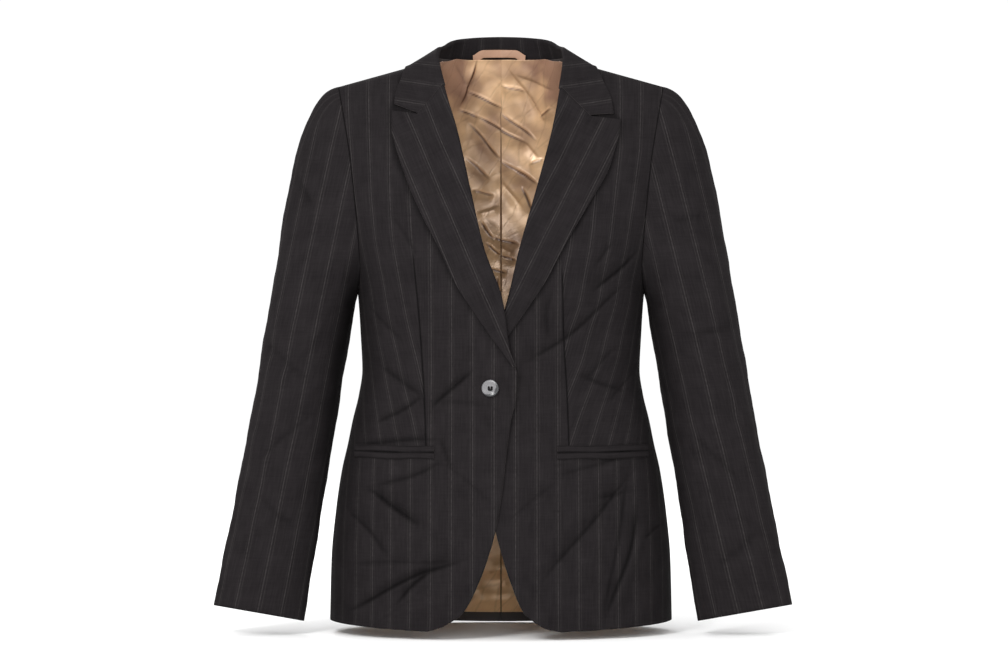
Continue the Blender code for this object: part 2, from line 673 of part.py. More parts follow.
def halved(points):
    """The same line with a point put in the middle of each step."""
    result = np.repeat(points, 2, axis=0)[:-1]
    result[1::2] = (points[:-1] + points[1:]) / 2
    return result


def collar_half(side, front, back, front_dir, back_dir, lapel):
    """Visible face of half the collar, from the gorge to the centre back."""
    first = HEM_ROWS - 1 + CHEST_ROWS
    neck = slice(0, BACK_NECK_COLUMNS + 1)
    seam_outer = np.concatenate([front[first:, 0], back[-1, neck][::-1][1:]])
    seam_dir = np.concatenate([front_dir[first:, 0], back_dir[-1, neck][::-1][1:]])
    seam_outer, seam_dir = halved(seam_outer), unit(halved(seam_dir))
    steps = np.linalg.norm(np.diff(seam_outer, axis=0), axis=1)
    share = np.concatenate([[0.0], np.cumsum(steps)]) / steps.sum()
    inward = unit(seam_outer * np.array([-1.0, -1.0, 0.0]) + np.array([0.0, 0.004, 0.0]))
    tangent = unit(np.gradient(seam_outer, axis=0))
    away = unit(np.cross(tangent, seam_dir))
    away *= np.sign(np.sum(away * inward, axis=1, keepdims=True))
    away[2 * (len(front) - first):] = np.array([0.0, 0.0, 1.0])
    seam = seam_outer - seam_dir * WALL + away * SEAM
    radius = FOLD_RADIUS
    lying = seam_outer + seam_dir * (radius - WALL + SEAM) + away * (radius + STAND_START)
    standing = (seam_outer + np.array([0.0, 0.0, 1.0]) * COLLAR.at("rise", share)[:, None]
                + inward * COLLAR.at("lean", share)[:, None])
    mix = ease(share / 0.34)[:, None]
    top = lying * (1 - mix) + standing * mix
    edge_x = COLLAR.at("edge_x", share)
    edge_y = COLLAR.at("edge_y", share)
    point_x, point_z = COLLAR_POINT[side]
    edge_x = edge_x + (point_x - edge_x[0]) * (1 - ease(share / 0.4))
    edge_z = height_over(edge_x, edge_y) + WALL + FLAT_LIFT
    edge = np.stack([edge_x, edge_y, edge_z], axis=-1)
    tip, _ = front_point(side, np.array([point_x]), np.array([point_z]),
                         np.array([WALL + FLAT_LIFT]))
    blend = (1 - ease(share / 0.3))[:, None]
    edge = edge * (1 - blend) + (tip[0] + (edge - edge[0])) * blend
    path = unit(tangent * (1 - mix) + unit(np.gradient(top, axis=0)) * mix)
    up = top - (seam + edge) / 2
    up = unit(up - path * np.sum(up * path, axis=1, keepdims=True))
    up = away * (1 - mix) + up * mix
    up = unit(up - path * np.sum(up * path, axis=1, keepdims=True))
    out = np.cross(path, up)
    out *= np.sign(np.sum(out * (edge - seam), axis=1, keepdims=True))
    centre = top - up * radius
    turn = np.linspace(math.pi, 0.0, FOLD_STEPS + 1)
    radial = (np.sin(turn)[None, :, None] * up[:, None]
              + np.cos(turn)[None, :, None] * out[:, None])
    arc = centre[:, None] + radial * radius
    stand = [seam + (arc[:, 0] - seam) * t for t in np.linspace(0, 1, STAND_STEPS + 1)[:-1]]
    leaf = []
    lower = lapel[-1, FOLD_STEPS:]
    for k, v in enumerate(ACROSS[1:], start=1):
        line = arc[:, -1] + (edge - arc[:, -1]) * v
        if v <= NOTCH_SHARE + 1e-9:
            start = lower[k] + np.array([0.0, 0.0, GORGE_GAP])
        else:
            beyond = (v - NOTCH_SHARE) / (1 - NOTCH_SHARE)
            notch = lower[NOTCH_COLUMN] + np.array([0.0, 0.0, GORGE_GAP])
            start = notch + (edge[0] - notch) * beyond
            start, _ = front_point(side, start[:1], start[2:], np.array([WALL + FLAT_LIFT]))
            start = start[0]
        pull = (1 - ease(share / 0.42))[:, None]
        line = line + (start - line[0]) * pull
        leaf.append(over_body(line, WALL + COLLAR_LIFT * ease(share / 0.2 + 0.25)))
    columns = stand + [arc[:, k] for k in range(FOLD_STEPS + 1)] + leaf
    fold = np.concatenate([-seam_dir[:, None], radial], axis=1)
    return np.stack(columns, axis=1), fold


def build_collar(halves, folds, material):
    """One collar from two halves that meet at the centre back."""
    right = mirrored("right", halves["right"])
    left = mirrored("left", halves["left"])[::-1]
    flat_back = np.array([0.0, 1.0, 1.0])
    middle = (right[-1:] + left[:1]) / 2 * flat_back
    points = np.concatenate([right[:-1], middle, left[1:]])
    normals = grid_normals(points, np.zeros(3) + 1e-9)
    if normals[len(right) - 1, 0, 1] > 0.0:
        normals = -normals
    right_fold, left_fold = mirrored("right", folds["right"]), mirrored("left", folds["left"])[::-1]
    fold = np.concatenate([right_fold[:-1], right_fold[-1:] * flat_back, left_fold[1:]])
    normals[:, : fold.shape[1]] = unit(fold)
    return wall("collar", points, normals, material)


# ---------------------------------------------------------------- small pieces
def build_jets(side, material):
    """Two narrow lips of cloth, one above and one below the pocket mouth."""
    sign = SIDES[side]
    start, stop = POCKETS[side]
    half = BODY.at("half_width", fall(0.0, POCKET_HEIGHT))
    angles = np.linspace(math.asin(start / half), math.asin(stop / half), 11)
    x = half * np.sin(angles)[:, None]
    share = np.linspace(0.0, 1.0, 4)
    for name, direction in (("upper", 1.0), ("lower", -1.0)):
        z = POCKET_HEIGHT + direction * (SEAM + JET_HEIGHT * share)
        crown = JET_CROWN * np.sin(math.pi * np.clip(share, 0.02, 0.98))
        lift = np.broadcast_to(JET_LIFT + JET_WALL + crown, (len(x), len(z)))
        points, normal = front_point(side, x + 0 * z, z + 0 * x, lift)
        turn = np.array([sign, 1.0, 1.0])
        base, _ = front_point(side, x + 0 * z, z + 0 * x, np.full(lift.shape, JET_LIFT))
        direction_grid = (points - base) / JET_WALL
        wall(f"{side}_pocket_{name}_jet", points * turn, direction_grid * turn, material, JET_WALL)


def build_loop(material):
    """Hanger loop: a narrow strip that arches over the back neck seam."""
    turn = np.linspace(math.pi, 0.0, 11)
    half_span, rise = 0.0310, 0.0120
    x = -0.0015 + half_span * np.cos(turn)
    centre_z = back_neck_height(x) + 0.0022 + rise * np.sin(turn) ** 0.8
    slope_x, slope_z = np.gradient(x), np.gradient(centre_z)
    length = np.hypot(slope_x, slope_z)
    rows = []
    for side_step in (-0.5, 0.0, 0.5):
        px = x - slope_z / length * LOOP_WIDTH * side_step
        pz = centre_z + slope_x / length * LOOP_WIDTH * side_step
        py = depth(px, back_neck_height(px), "back") - WALL - 0.0052
        rows.append(np.stack([px, py, pz], axis=-1))
    points = np.stack(rows, axis=1)
    normals = grid_normals(points, np.array([0.0, -1.0, 0.0]))
    return wall("hanger_loop", points, normals, material, 0.0010)


def build_button(material):
    """Four-hole button: a turned disc with a raised rim and a dished middle."""
    half = BUTTON_THICKNESS / 2
    profile = (
        (0.0000, half * 0.35), (0.0052, half * 0.40), (0.0070, half * 0.75),
        (0.0082, half * 1.00), (0.0094, half * 0.90), (BUTTON_RADIUS, half * 0.25),
        (BUTTON_RADIUS, -half * 0.35), (0.0092, -half * 0.85), (0.0078, -half), (0.0000, -half),
    )
    mesh = bpy.data.meshes.new("button")
    work = bmesh.new()
    loop = [work.verts.new((radius, 0.0, height)) for radius, height in profile]
    edges = [work.edges.new(pair) for pair in zip(loop[:-1], loop[1:])]
    bmesh.ops.spin(work, geom=loop + edges, axis=(0, 0, 1), cent=(0, 0, 0),
                   steps=24, angle=2 * math.pi, use_merge=True)
    bmesh.ops.remove_doubles(work, verts=work.verts, dist=1e-6)
    bmesh.ops.recalc_face_normals(work, faces=work.faces)
    work.to_mesh(mesh)
    work.free()
    mesh.materials.append(material)
    button = bpy.data.objects.new("button", mesh)
    bpy.context.scene.collection.objects.link(button)
    hole_radius, hole_place = 0.00095, 0.0017
    for k, (sx, sy) in enumerate(((-1, -1), (-1, 1), (1, 1), (1, -1))):
        hole = bpy.data.meshes.new(f"hole_{k}")
        work = bmesh.new()
        bmesh.ops.create_cone(work, cap_ends=True, segments=8, radius1=hole_radius,
                              radius2=hole_radius, depth=BUTTON_THICKNESS * 3)
        bmesh.ops.translate(work, verts=work.verts, vec=(sx * hole_place, sy * hole_place, 0))
        work.to_mesh(hole)
        work.free()
        cutter = bpy.data.objects.new(f"hole_{k}", hole)
        cutter.hide_render = True
        cutter.display_type = "WIRE"
        bpy.context.scene.collection.objects.link(cutter)
        cutter.parent = button
        cut = button.modifiers.new(f"hole_{k}", "BOOLEAN")
        cut.object = cutter
        cut.operation = "DIFFERENCE"
        cut.solver = "EXACT"
    point, normal = front_point("right", np.array([BUTTON_OUTWARD]), np.array([BUTTON_HEIGHT]),
                                np.array([half + 2 * SEAM]))
    point, normal = mirrored("right", point)[0], mirrored("right", normal)[0]
    button.location = point
    button.rotation_euler = Vector(normal).to_track_quat("Z", "Y").to_euler()
    mesh.shade_smooth()
    mesh.set_sharp_from_angle(angle=math.radians(40.0))
    return button


def make_material(name):
    """Principled material with the piece's colour and roughness."""
    colour, roughness = COLOURS[name]
    material = bpy.data.materials.new(name)
    material.use_nodes = True
    shader = material.node_tree.nodes["Principled BSDF"]
    shader.inputs["Base Color"].default_value = (*colour, 1.0)
    shader.inputs["Roughness"].default_value = roughness
    material.diffuse_color = (*colour, 1.0)
    return material


def clear_scene():
    """Remove whatever the scene holds."""
    for item in list(bpy.data.objects):
        bpy.data.objects.remove(item, do_unlink=True)


def build():
    """Make every piece of the jacket."""
    clear_scene()
    wool, satin, horn = (make_material(name) for name in ("wool", "satin", "button"))
    halves, folds = {}, {}
    for side in SIDES:
        front, front_dir = front_grid(side)
        back, back_dir = back_grid()
        build_sleeve(side, front, back, front_dir, back_dir, wool)
        lapel, lapel_dir = lapel_grid(side, front, front_dir)
        halves[side], folds[side] = collar_half(side, front, back, front_dir, back_dir, lapel)
        wall(f"{side}_front", mirrored(side, front), mirrored(side, front_dir), wool)
        wall(f"{side}_back", mirrored(side, back), mirrored(side, back_dir), wool)
        wall(f"{side}_lapel", mirrored(side, lapel), mirrored(side, lapel_dir), wool)
        inside, inside_dir = back_grid(hem_rise=0.0120, side_share=0.96,
                                       shoulder_drop=LINING_SHOULDER_DROP)
        gap = LINING_GAP + PAD_GAP * ease((inside[..., 2:] + 0.10) / 0.08)
        inside = inside - inside_dir * (WALL + gap)
        inside = inside[:, ::LINING_COLUMN_STEP]
        inside_dir = inside_dir[:, ::LINING_COLUMN_STEP]
        wall(f"{side}_back_lining", mirrored(side, inside), mirrored(side, inside_dir), satin,
             LINING_WALL)
        build_jets(side, wool)
    build_collar(halves, folds, wool)
    build_loop(satin)
    build_button(horn)


build()
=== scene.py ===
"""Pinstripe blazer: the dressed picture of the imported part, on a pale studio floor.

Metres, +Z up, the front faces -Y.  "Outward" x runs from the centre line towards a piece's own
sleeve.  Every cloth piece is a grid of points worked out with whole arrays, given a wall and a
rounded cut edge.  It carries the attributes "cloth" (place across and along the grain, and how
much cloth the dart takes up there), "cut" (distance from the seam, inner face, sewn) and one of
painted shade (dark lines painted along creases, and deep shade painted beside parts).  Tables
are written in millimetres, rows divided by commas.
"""
from __future__ import annotations

import logging
import math
from dataclasses import dataclass, field, replace
from enum import Enum
from functools import cached_property
from typing import Callable, ClassVar

import bpy
import numpy as np
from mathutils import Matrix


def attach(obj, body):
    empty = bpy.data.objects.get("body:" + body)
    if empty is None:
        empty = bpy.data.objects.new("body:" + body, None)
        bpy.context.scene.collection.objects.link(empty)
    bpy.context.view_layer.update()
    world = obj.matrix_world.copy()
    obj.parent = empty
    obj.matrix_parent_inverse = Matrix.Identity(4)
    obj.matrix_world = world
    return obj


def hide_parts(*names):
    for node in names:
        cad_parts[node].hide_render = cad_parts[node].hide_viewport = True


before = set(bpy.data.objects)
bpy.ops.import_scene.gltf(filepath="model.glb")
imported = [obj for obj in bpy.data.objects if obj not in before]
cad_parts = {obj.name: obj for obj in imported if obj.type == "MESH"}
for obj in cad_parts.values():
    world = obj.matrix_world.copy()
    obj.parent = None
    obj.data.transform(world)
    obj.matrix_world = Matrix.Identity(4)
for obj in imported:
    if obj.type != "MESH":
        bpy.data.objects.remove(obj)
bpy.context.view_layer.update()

LOG = logging.getLogger("blazer")
Array, Material = np.ndarray, bpy.types.Material

SEAM = 0.0003            # clearance where two pieces meet
WALL = 0.0016            # shell cloth with its interfacing
SATIN_WALL = 0.0010      # lining cloth
NARROWEST = 0.0100       # least width that a strip of cloth is cut to
CREASE_SHADE_WIDTH = 0.0023    # reach of the painted shade along creases, to each side
DEEP = 0.0046            # a trough of this depth gets the darkest painted shade
HARD_EDGE = math.radians(70.0)
UP, BACK, FRONT = np.array([0.0, 0.0, 1.0]), np.array([0.0, 1.0, 0.0]), np.array([0.0, -1.0, 0.0])
PLAIN = ("share", "roundness", "shade")      # table columns that are numbers and not millimetres


class Side(Enum):
    """The wearer's side of a piece; the value is the sign of its own X."""

    RIGHT = -1.0
    LEFT = 1.0

    def name_of(self, part: str) -> str:
        """Name of this side's part, as the CAD nodes write it."""
        return f"{self.name.lower()}_{part}"

    def place(self, points: Array) -> Array:
        """Outward coordinates turned into the piece's own side."""
        return points * np.array([self.value, 1.0, 1.0])


class Held(Enum):
    STRETCHED = "stretched"
    FOLDED = "folded"
    DRAPED = "draped"


class Stuff(Enum):
    """What a sheet is cut from; the value ends the names of its pieces."""

    WOOL = "cloth"
    SATIN = "satin"


# ---------------------------------------------------------------- arithmetic on whole arrays
def ease(share: Array | float) -> Array:
    """Smooth step from 0 to 1: 3s squared minus 2s cubed, held between 0 and 1."""
    share = np.clip(share, 0.0, 1.0)
    return share * share * (3.0 - 2.0 * share)


def unit(vectors: Array) -> Array:
    """Vectors divided by their own length."""
    return vectors / np.maximum(np.linalg.norm(vectors, axis=-1, keepdims=True), 1e-12)


def agree(vectors: Array, wanted: Array) -> Array:
    """Vectors, each turned round where it points against the wanted one."""
    return vectors * np.sign(np.sum(vectors * wanted, axis=1, keepdims=True))


def square_to(vectors: Array, path: Array) -> Array:
    """Unit vectors left when their part along the path is taken away."""
    return unit(vectors - path * np.sum(vectors * path, axis=1, keepdims=True))


def run_lengths(points: Array, axis: int) -> Array:
    """Distance walked along one axis of a grid, starting at zero."""
    steps = np.linalg.norm(np.diff(points, axis=axis), axis=-1)
    return np.insert(np.cumsum(steps, axis=axis), 0, 0.0, axis=axis)


def grid_normals(points: Array, outward: Array) -> Array:
    """Cross product of the two grid directions, turned to the side of outward.

    Args:
        points: grid of points, rows by columns by 3.
        outward: a direction, or one for each point, that the normals should agree with.

    Returns:
        One normal of length one for each point.
    """
    normal = unit(np.cross(np.gradient(points, axis=0), np.gradient(points, axis=1)))
    return -normal if np.sum(normal * outward) < 0.0 else normal


def hermite(t: Array, start: Array, leave: Array, stop: Array, arrive: Array) -> Array:
    """Cubic from start to stop over t from 0 to 1, with the slopes leave and arrive."""
    return ((2 * t**3 - 3 * t**2 + 1) * start + (t**3 - 2 * t**2 + t) * leave
            + (3 * t**2 - 2 * t**3) * stop + (t**3 - t**2) * arrive)


def table(text: str) -> list[list[float]]:
    """Rows of numbers, divided by commas."""
    return [[float(word) for word in row.split()] for row in text.split(",")]


@dataclass(frozen=True)
class Curves:
    """Smooth curves through rows of named columns, over the first column.

    Each curve is a cubic between knots whose slope is the harmonic mean of its neighbours',
    so it never overshoots.
    """

    names: str
    rows: str
    root_spaced: bool = False

    @cached_property
    def columns(self) -> dict[str, Array]:
        """The columns by name, in metres or as plain numbers."""
        named = zip(self.names.split(), np.array(table(self.rows)).T)
        return {name: values / (1.0 if name in PLAIN else 1000.0) for name, values in named}

    def at(self, name: str, place: Array | float) -> Array:
        """Value of a named column at a place.

        Args:
            name: the column.
            place: value or values of the first column.

        Returns:
            The column's value there, held at its ends.
        """
        knots, place = self.columns[self.names.split()[0]], np.asarray(place, dtype=float)
        if self.root_spaced:
            knots, place = np.sqrt(knots), np.sqrt(np.maximum(place, 0.0))
        place = np.clip(place, knots[0], knots[-1])
        values = self.columns[name]
        slope = np.diff(values) / np.diff(knots)
        rises = slope[1:] * slope[:-1] > 0.0
        total = np.where(rises, slope[1:] + slope[:-1], 1.0)
        inner = np.where(rises, 2.0 * slope[1:] * slope[:-1] / total, 0.0)
        tangent = np.concatenate([slope[:1], inner, slope[-1:]])
        cell = np.clip(np.searchsorted(knots, place, side="right") - 1, 0, len(knots) - 2)
        width = knots[cell + 1] - knots[cell]
        return hermite((place - knots[cell]) / width, values[cell], width * tangent[cell],
                       values[cell + 1], width * tangent[cell + 1])


@dataclass(frozen=True)
class Fold:
    """A soft ridge (depth above 0) or trough (below 0) between two places of a panel."""

    x0: float
    z0: float
    x1: float
    z1: float
    width: float
    depth: float
    bend: float = 0.0
    steep: float = 1.0

    def place(self, x: Array, z: Array) -> tuple[Array, Array]:
        """Distance across the line, which bows and wanders, and a weight that runs out at both ends.

        Args:
            x: places on the panel.
            z: heights on the panel.

        Returns:
            The distance and the weight at each place.
        """
        run = np.array([self.x1 - self.x0, self.z1 - self.z0])
        length = np.hypot(*run)
        along = np.clip(((x - self.x0) * run[0] + (z - self.z0) * run[1]) / length**2, -0.2, 1.2)
        across = ((x - self.x0) * run[1] - (z - self.z0) * run[0]) / length
        wander = 0.012 * length * np.sin(6.5 * along + 90.0 * self.x0)
        bow = self.bend * np.sin(math.pi * along) + wander
        return across - bow, ease((along + 0.15) / 0.4) * ease((1.15 - along) / 0.4)

    def height(self, x: Array, z: Array) -> Array:
        """Depth times a bell across the line.

        The bell is narrower by steep on one side, as in cloth that was pressed into a sharp fold.

        Args:
            x: places on the panel.
            z: heights on the panel.

        Returns:
            How far the cloth is moved out at each place.
        """
        across, ends = self.place(x, z)
        width = np.where(across > 0.0, self.width, self.width / self.steep)
        return self.depth * np.exp(-((across / width) ** 2)) * ends

    def mark(self, x: Array, z: Array, width: float) -> Array:
        """Painted shade along the line of a deep trough: 1 there, less in a shallower one, fading out within the width.
        """
        across, ends = self.place(x, z)
        return min(max(-self.depth, 0.0) / DEEP, 1.0) * np.exp(-((across / width) ** 2)) * ends


def folds(text: str) -> tuple[Fold, ...]:
    """Folds from rows of x0, z0, x1, z1, width, depth and bend in millimetres, then steep as a number."""
    return tuple(Fold(*(value / 1000.0 for value in row[:7]), *row[7:]) for row in table(text))


def folds_height(several: tuple[Fold, ...], x: Array, z: Array) -> Array:
    """Sum of the heights of several folds."""
    return sum((fold.height(x, z) for fold in several), np.zeros(np.broadcast(x, z).shape))


def folds_painted_shade(several: tuple[Fold, ...], x: Array, z: Array, width: float = CREASE_SHADE_WIDTH) -> Array:
    """Strongest painted shade of several folds."""
    return np.maximum(np.max([fold.mark(x, z, width) for fold in several], axis=0), 0.0)


def uneven(x: Array, z: Array, size: float, seed: float) -> Array:
    """Quiet unevenness of hanging cloth: five crossing sine waves of unlike length.

    Args:
        x: places on the panel.
        z: heights on the panel.
        size: length of the middle wave.
        seed: a number that turns and shifts the waves.

    Returns:
        A value from -1 to 1 for each place.
    """
    total = np.zeros(np.broadcast(x, z).shape)
    for k in range(5):
        turn = seed * 1.7 + 2.399 * k
        wave = 2.0 * math.pi / (size * (0.62 + 0.23 * k))
        total = total + np.sin(wave * (x * math.cos(turn) + z * math.sin(turn)) + 3.1 * turn) / (1.0 + 0.35 * k)
    return total / 3.2


# ---------------------------------------------------------------- grids to meshes
@dataclass
class Grid:
    """A cloth panel: its outer face, the way its wall goes, and its places on the flat cloth.

    Across and along are metres on the flat cloth, take_up is how much of it a dart takes away
    beyond its seam, sewn is 1 along the part of a seam that shows, and creased is painted shade:
    1 where it is darkest, along deep creases and in the deep shade beside parts.
    """

    VALUES: ClassVar[tuple[str, ...]] = ("across", "along", "take_up", "from_seam", "sewn", "creased")
    points: Array
    direction: Array
    across: Array
    along: Array
    take_up: Array | float = 0.0
    from_seam: Array | float = 1.0
    sewn: Array | float = 0.0
    creased: Array | float = 0.0

    def attribute(self, name: str) -> Array:
        """One value for each point of the grid, in one row."""
        return np.broadcast_to(getattr(self, name), self.points.shape[:2]).astype(float).ravel()

    def columns(self, order: Array) -> Grid:
        """The same panel with these columns only, in this order."""
        arrays = {key: value[:, order] for key, value in vars(self).items() if isinstance(value, Array)}
        return replace(self, **arrays)

    @property
    def size(self) -> tuple[float, float]:
        """Longest run across and along the panel, as it would lie flat."""
        return float(run_lengths(self.points, 1)[:, -1].max()), float(run_lengths(self.points, 0)[-1].max())

    @property
    def area(self) -> float:
        """Half the cross product of the diagonals of every cell, added up."""
        one, two = self.points[1:, 1:] - self.points[:-1, :-1], self.points[1:, :-1] - self.points[:-1, 1:]
        return float(np.linalg.norm(np.cross(one, two), axis=-1).sum() / 2.0)


def border_of(index: Array, inset: int) -> Array:
    """Numbers of the points once round a grid, or beside its edge if inset is 1."""
    first, last = inset, -1 - inset
    return np.concatenate([index[first, :-1], index[:-1, last], index[last, :0:-1], index[:0:-1, first]])


def shell_mesh(name: str, grid: Grid, side: Side | None, thickness: float) -> bpy.types.Mesh:
    """A closed wall: outer grid, the same grid moved in, and a rim rounded at half thickness.

    Args:
        name: name of the mesh.
        grid: the outer face and its attributes.
        side: the side the outward coordinates are turned to, or None if they are turned.
        thickness: thickness of the wall.

    Returns:
        The mesh with its "cloth" and "cut" attributes and its attribute of painted shade.
    """
    outer, direction = grid.points, grid.direction
    if side is not None:
        outer, direction = side.place(outer), side.place(direction)
    count = outer.shape[0] * outer.shape[1]
    index = np.arange(count).reshape(outer.shape[:2])
    border = border_of(index, 0)
    flat, away = outer.reshape(-1, 3), direction.reshape(-1, 3)
    ring = flat[border]
    tangent = unit(np.roll(ring, -1, axis=0) - np.roll(ring, 1, axis=0))
    outside = agree(np.cross(tangent, away[border]), unit(ring - flat[border_of(index, 1)]))
    middle = ring - away[border] * thickness / 2 + outside * min(thickness * 0.28, SEAM)
    vertices = np.concatenate([flat, flat - away * thickness, middle])
    skin = np.stack([index[:-1, :-1], index[:-1, 1:], index[1:, 1:], index[1:, :-1]], -1).reshape(-1, 4)
    rim = 2 * count + np.arange(len(border))
    following, rim_next = np.roll(border, -1), np.roll(rim, -1)
    faces = np.concatenate([skin, skin[:, ::-1] + count, np.stack([following, border, rim, rim_next], 1),
                            np.stack([rim_next, rim, border + count, following + count], 1)])
    corner = vertices[faces]
    volume = np.sum(np.cross(corner[:, 1] - corner[:, 0], corner[:, 2] - corner[:, 0]) * corner[:, 0])
    if volume < 0.0:
        faces = faces[:, ::-1]
    mesh = bpy.data.meshes.new(name)
    mesh.from_pydata(vertices.tolist(), [], faces.tolist())
    source = np.concatenate([index.ravel(), index.ravel(), border])
    inside = np.repeat([0.0, 1.0, 0.5], [count, count, len(border)])
    across, along, take_up, from_seam, sewn, creased = (grid.attribute(key)[source] for key in Grid.VALUES)
    # the third attribute is painted shade, which the finishes mix towards a dark colour
    for key, kind, slot, values in (("cloth", "FLOAT_VECTOR", "vector", (across, along, take_up)),
                                    ("cut", "FLOAT_VECTOR", "vector", (from_seam, inside, sewn)),
                                    ("crease", "FLOAT", "value", (creased,))):
        layer = mesh.attributes.new(key, kind, "POINT")
        layer.data.foreach_set(slot, np.stack(values, 1).astype(np.float32).ravel())
    mesh.shade_smooth()
    mesh.set_sharp_from_angle(angle=HARD_EDGE)
    return mesh


def add_piece(mesh: bpy.types.Mesh, material: Material, slot: str, *nodes: str) -> bpy.types.Object:
    """Put a mesh into the scene as a piece that rides on the one body.

    Args:
        mesh: the finished mesh, in place.
        material: its finish.
        slot: its material slot; not used.
        nodes: CAD nodes that the piece stands for.

    Returns:
        The new object.
    """
    mesh.materials.append(material)
    piece = bpy.data.objects.new(mesh.name, mesh)
    bpy.context.scene.collection.objects.link(piece)
    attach(piece, "root")
    if nodes:
        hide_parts(*nodes)
    LOG.info("%s: %d faces, stands for %s", piece.name, len(mesh.polygons), ", ".join(nodes) or "no node")
    return piece


def add_cloth(part: str, grid: Grid, side: Side | None, material: Material,
              rests_on: tuple[str, ...] = (), thickness: float = WALL, stuff: Stuff = Stuff.WOOL) -> None:
    """Args:
        part: the CAD node that the piece stands for, without its side.
        grid: outer face, wall direction and flat places.
        side: the side that the part is on and the grid is turned to, or None.
        material: its finish.
        rests_on: the cloth parts that it lies on, without their side if it has one itself; not used beyond making their
            names.
        thickness: thickness of its wall.
        stuff: what it is cut from.
    """
    named = side.name_of if side else str
    name = named(f"{part.removesuffix('_lining')}_{stuff.value}")
    piece = add_piece(shell_mesh(name, grid, side, thickness), material, stuff.name.lower(), named(part))
    width, length = (max(size, NARROWEST) for size in grid.size)
    [named(f"{below}_cloth") for below in rests_on]
    min(grid.area, width * length)
    LOG.info("%s is cut %.3f x %.3f m, %.4f m2", name, width, length, grid.area)


# ---------------------------------------------------------------- finishes
def linear(code: str) -> tuple[float, float, float, float]:
    """An sRGB hex colour turned to linear light, by the standard's own curve.

    Args:
        code: a hash sign and six hex digits.

    Returns:
        Red, green, blue and an opacity of 1.
    """
    parts = [int(code[k:k + 2], 16) / 255.0 for k in (1, 3, 5)]
    red, green, blue = (c / 12.92 if c <= 0.04045 else ((c + 0.055) / 1.055) ** 2.4 for c in parts)
    return red, green, blue, 1.0


def arithmetic(operation: str) -> Callable[..., Value]:
    """A method that adds one arithmetic step.

    Args:
        operation: the step's name in the math node.

    Returns:
        The method.
    """
    def step(value: Value, *others: Value | float) -> Value:
        """Result of the step on a value and others."""
        return value.tree.add("Math", dict(enumerate((value, *others))), operation=operation)
    return step


class Value:
    """Something that a material's nodes work out; arithmetic on it adds the nodes for that."""

    __add__, __sub__, __mul__, __truediv__, __abs__, least, most, sine, over, wrapped = map(arithmetic, (
        "ADD", "SUBTRACT", "MULTIPLY", "DIVIDE", "ABSOLUTE", "MINIMUM", "MAXIMUM", "SINE", "GREATER_THAN",
        "FLOORED_MODULO"))
    __radd__, __rmul__ = __add__, __mul__

    def __init__(self, tree: Tree, socket: bpy.types.NodeSocket) -> None:
        """Remember the tree and the output that the value comes from."""
        self.tree, self.socket = tree, socket

    def __rsub__(self, other: float) -> Value:
        """A number less this."""
        return self.tree.add("Math", {0: other, 1: self}, operation="SUBTRACT")

    def between(self, one: Value | str, two: Value | str) -> Value:
        """Colour that lies this share of the way from one to another."""
        return self.tree.add("Mix", {0: self, 6: one, 7: two}, 2, data_type="RGBA")

    def split(self) -> list[Value]:
        """The three numbers of this vector."""
        return [self.tree.add("SeparateXYZ", {0: self}, k) for k in range(3)]


class Tree:
    """A material's node tree, filled one node at a time."""

    def __init__(self, name: str) -> None:
        """Start a material with its own shader.

        Args:
            name: name of the material.
        """
        self.material = bpy.data.materials.new(name)
        self.material.use_nodes = True
        self.nodes, self.links = self.material.node_tree.nodes, self.material.node_tree.links

    def feed(self, socket: bpy.types.NodeSocket, value: object) -> None:
        """Link a value to an input, or set a constant on it.

        Args:
            socket: the input.
            value: a value, a number, a vector or a hex colour.
        """
        if isinstance(value, Value):
            self.links.new(value.socket, socket)
        else:
            socket.default_value = linear(value) if isinstance(value, str) else value

    def add(self, kind: str, inputs: dict, output: int | str = 0, **settings: object) -> Value:
        """Add a node with its settings, and set or link its inputs.

        Args:
            kind: type name of the node, without "ShaderNode".
            inputs: what goes to each input, by its name or number.
            output: name or number of the output that is wanted.
            settings: attributes of the node.

        Returns:
            That output.
        """
        node = self.nodes.new("ShaderNode" + kind)
        for key, value in settings.items():
            setattr(node, key, value)
        for key, value in inputs.items():
            self.feed(node.inputs[key], value)
        return Value(self, node.outputs[output])

    def drawn_out(self, place: Value, cells: tuple[float, float, float], detail: float = 2.0) -> Value:
        """Clouds drawn out: noise on a place that is scaled."""
        scaled = self.add("Mapping", {"Vector": place, "Scale": cells})
        return self.add("TexNoise", {"Vector": scaled, "Scale": 1.0, "Detail": detail})

    def finish(self, **values: object) -> Material:
        """Set or link the shader's inputs.

        Args:
            values: what goes to each input, its name written with underscores for spaces.

        Returns:
            The material.
        """
        for key, value in values.items():
            self.feed(self.nodes["Principled BSDF"].inputs[key.replace("_", " ")], value)
        return self.material


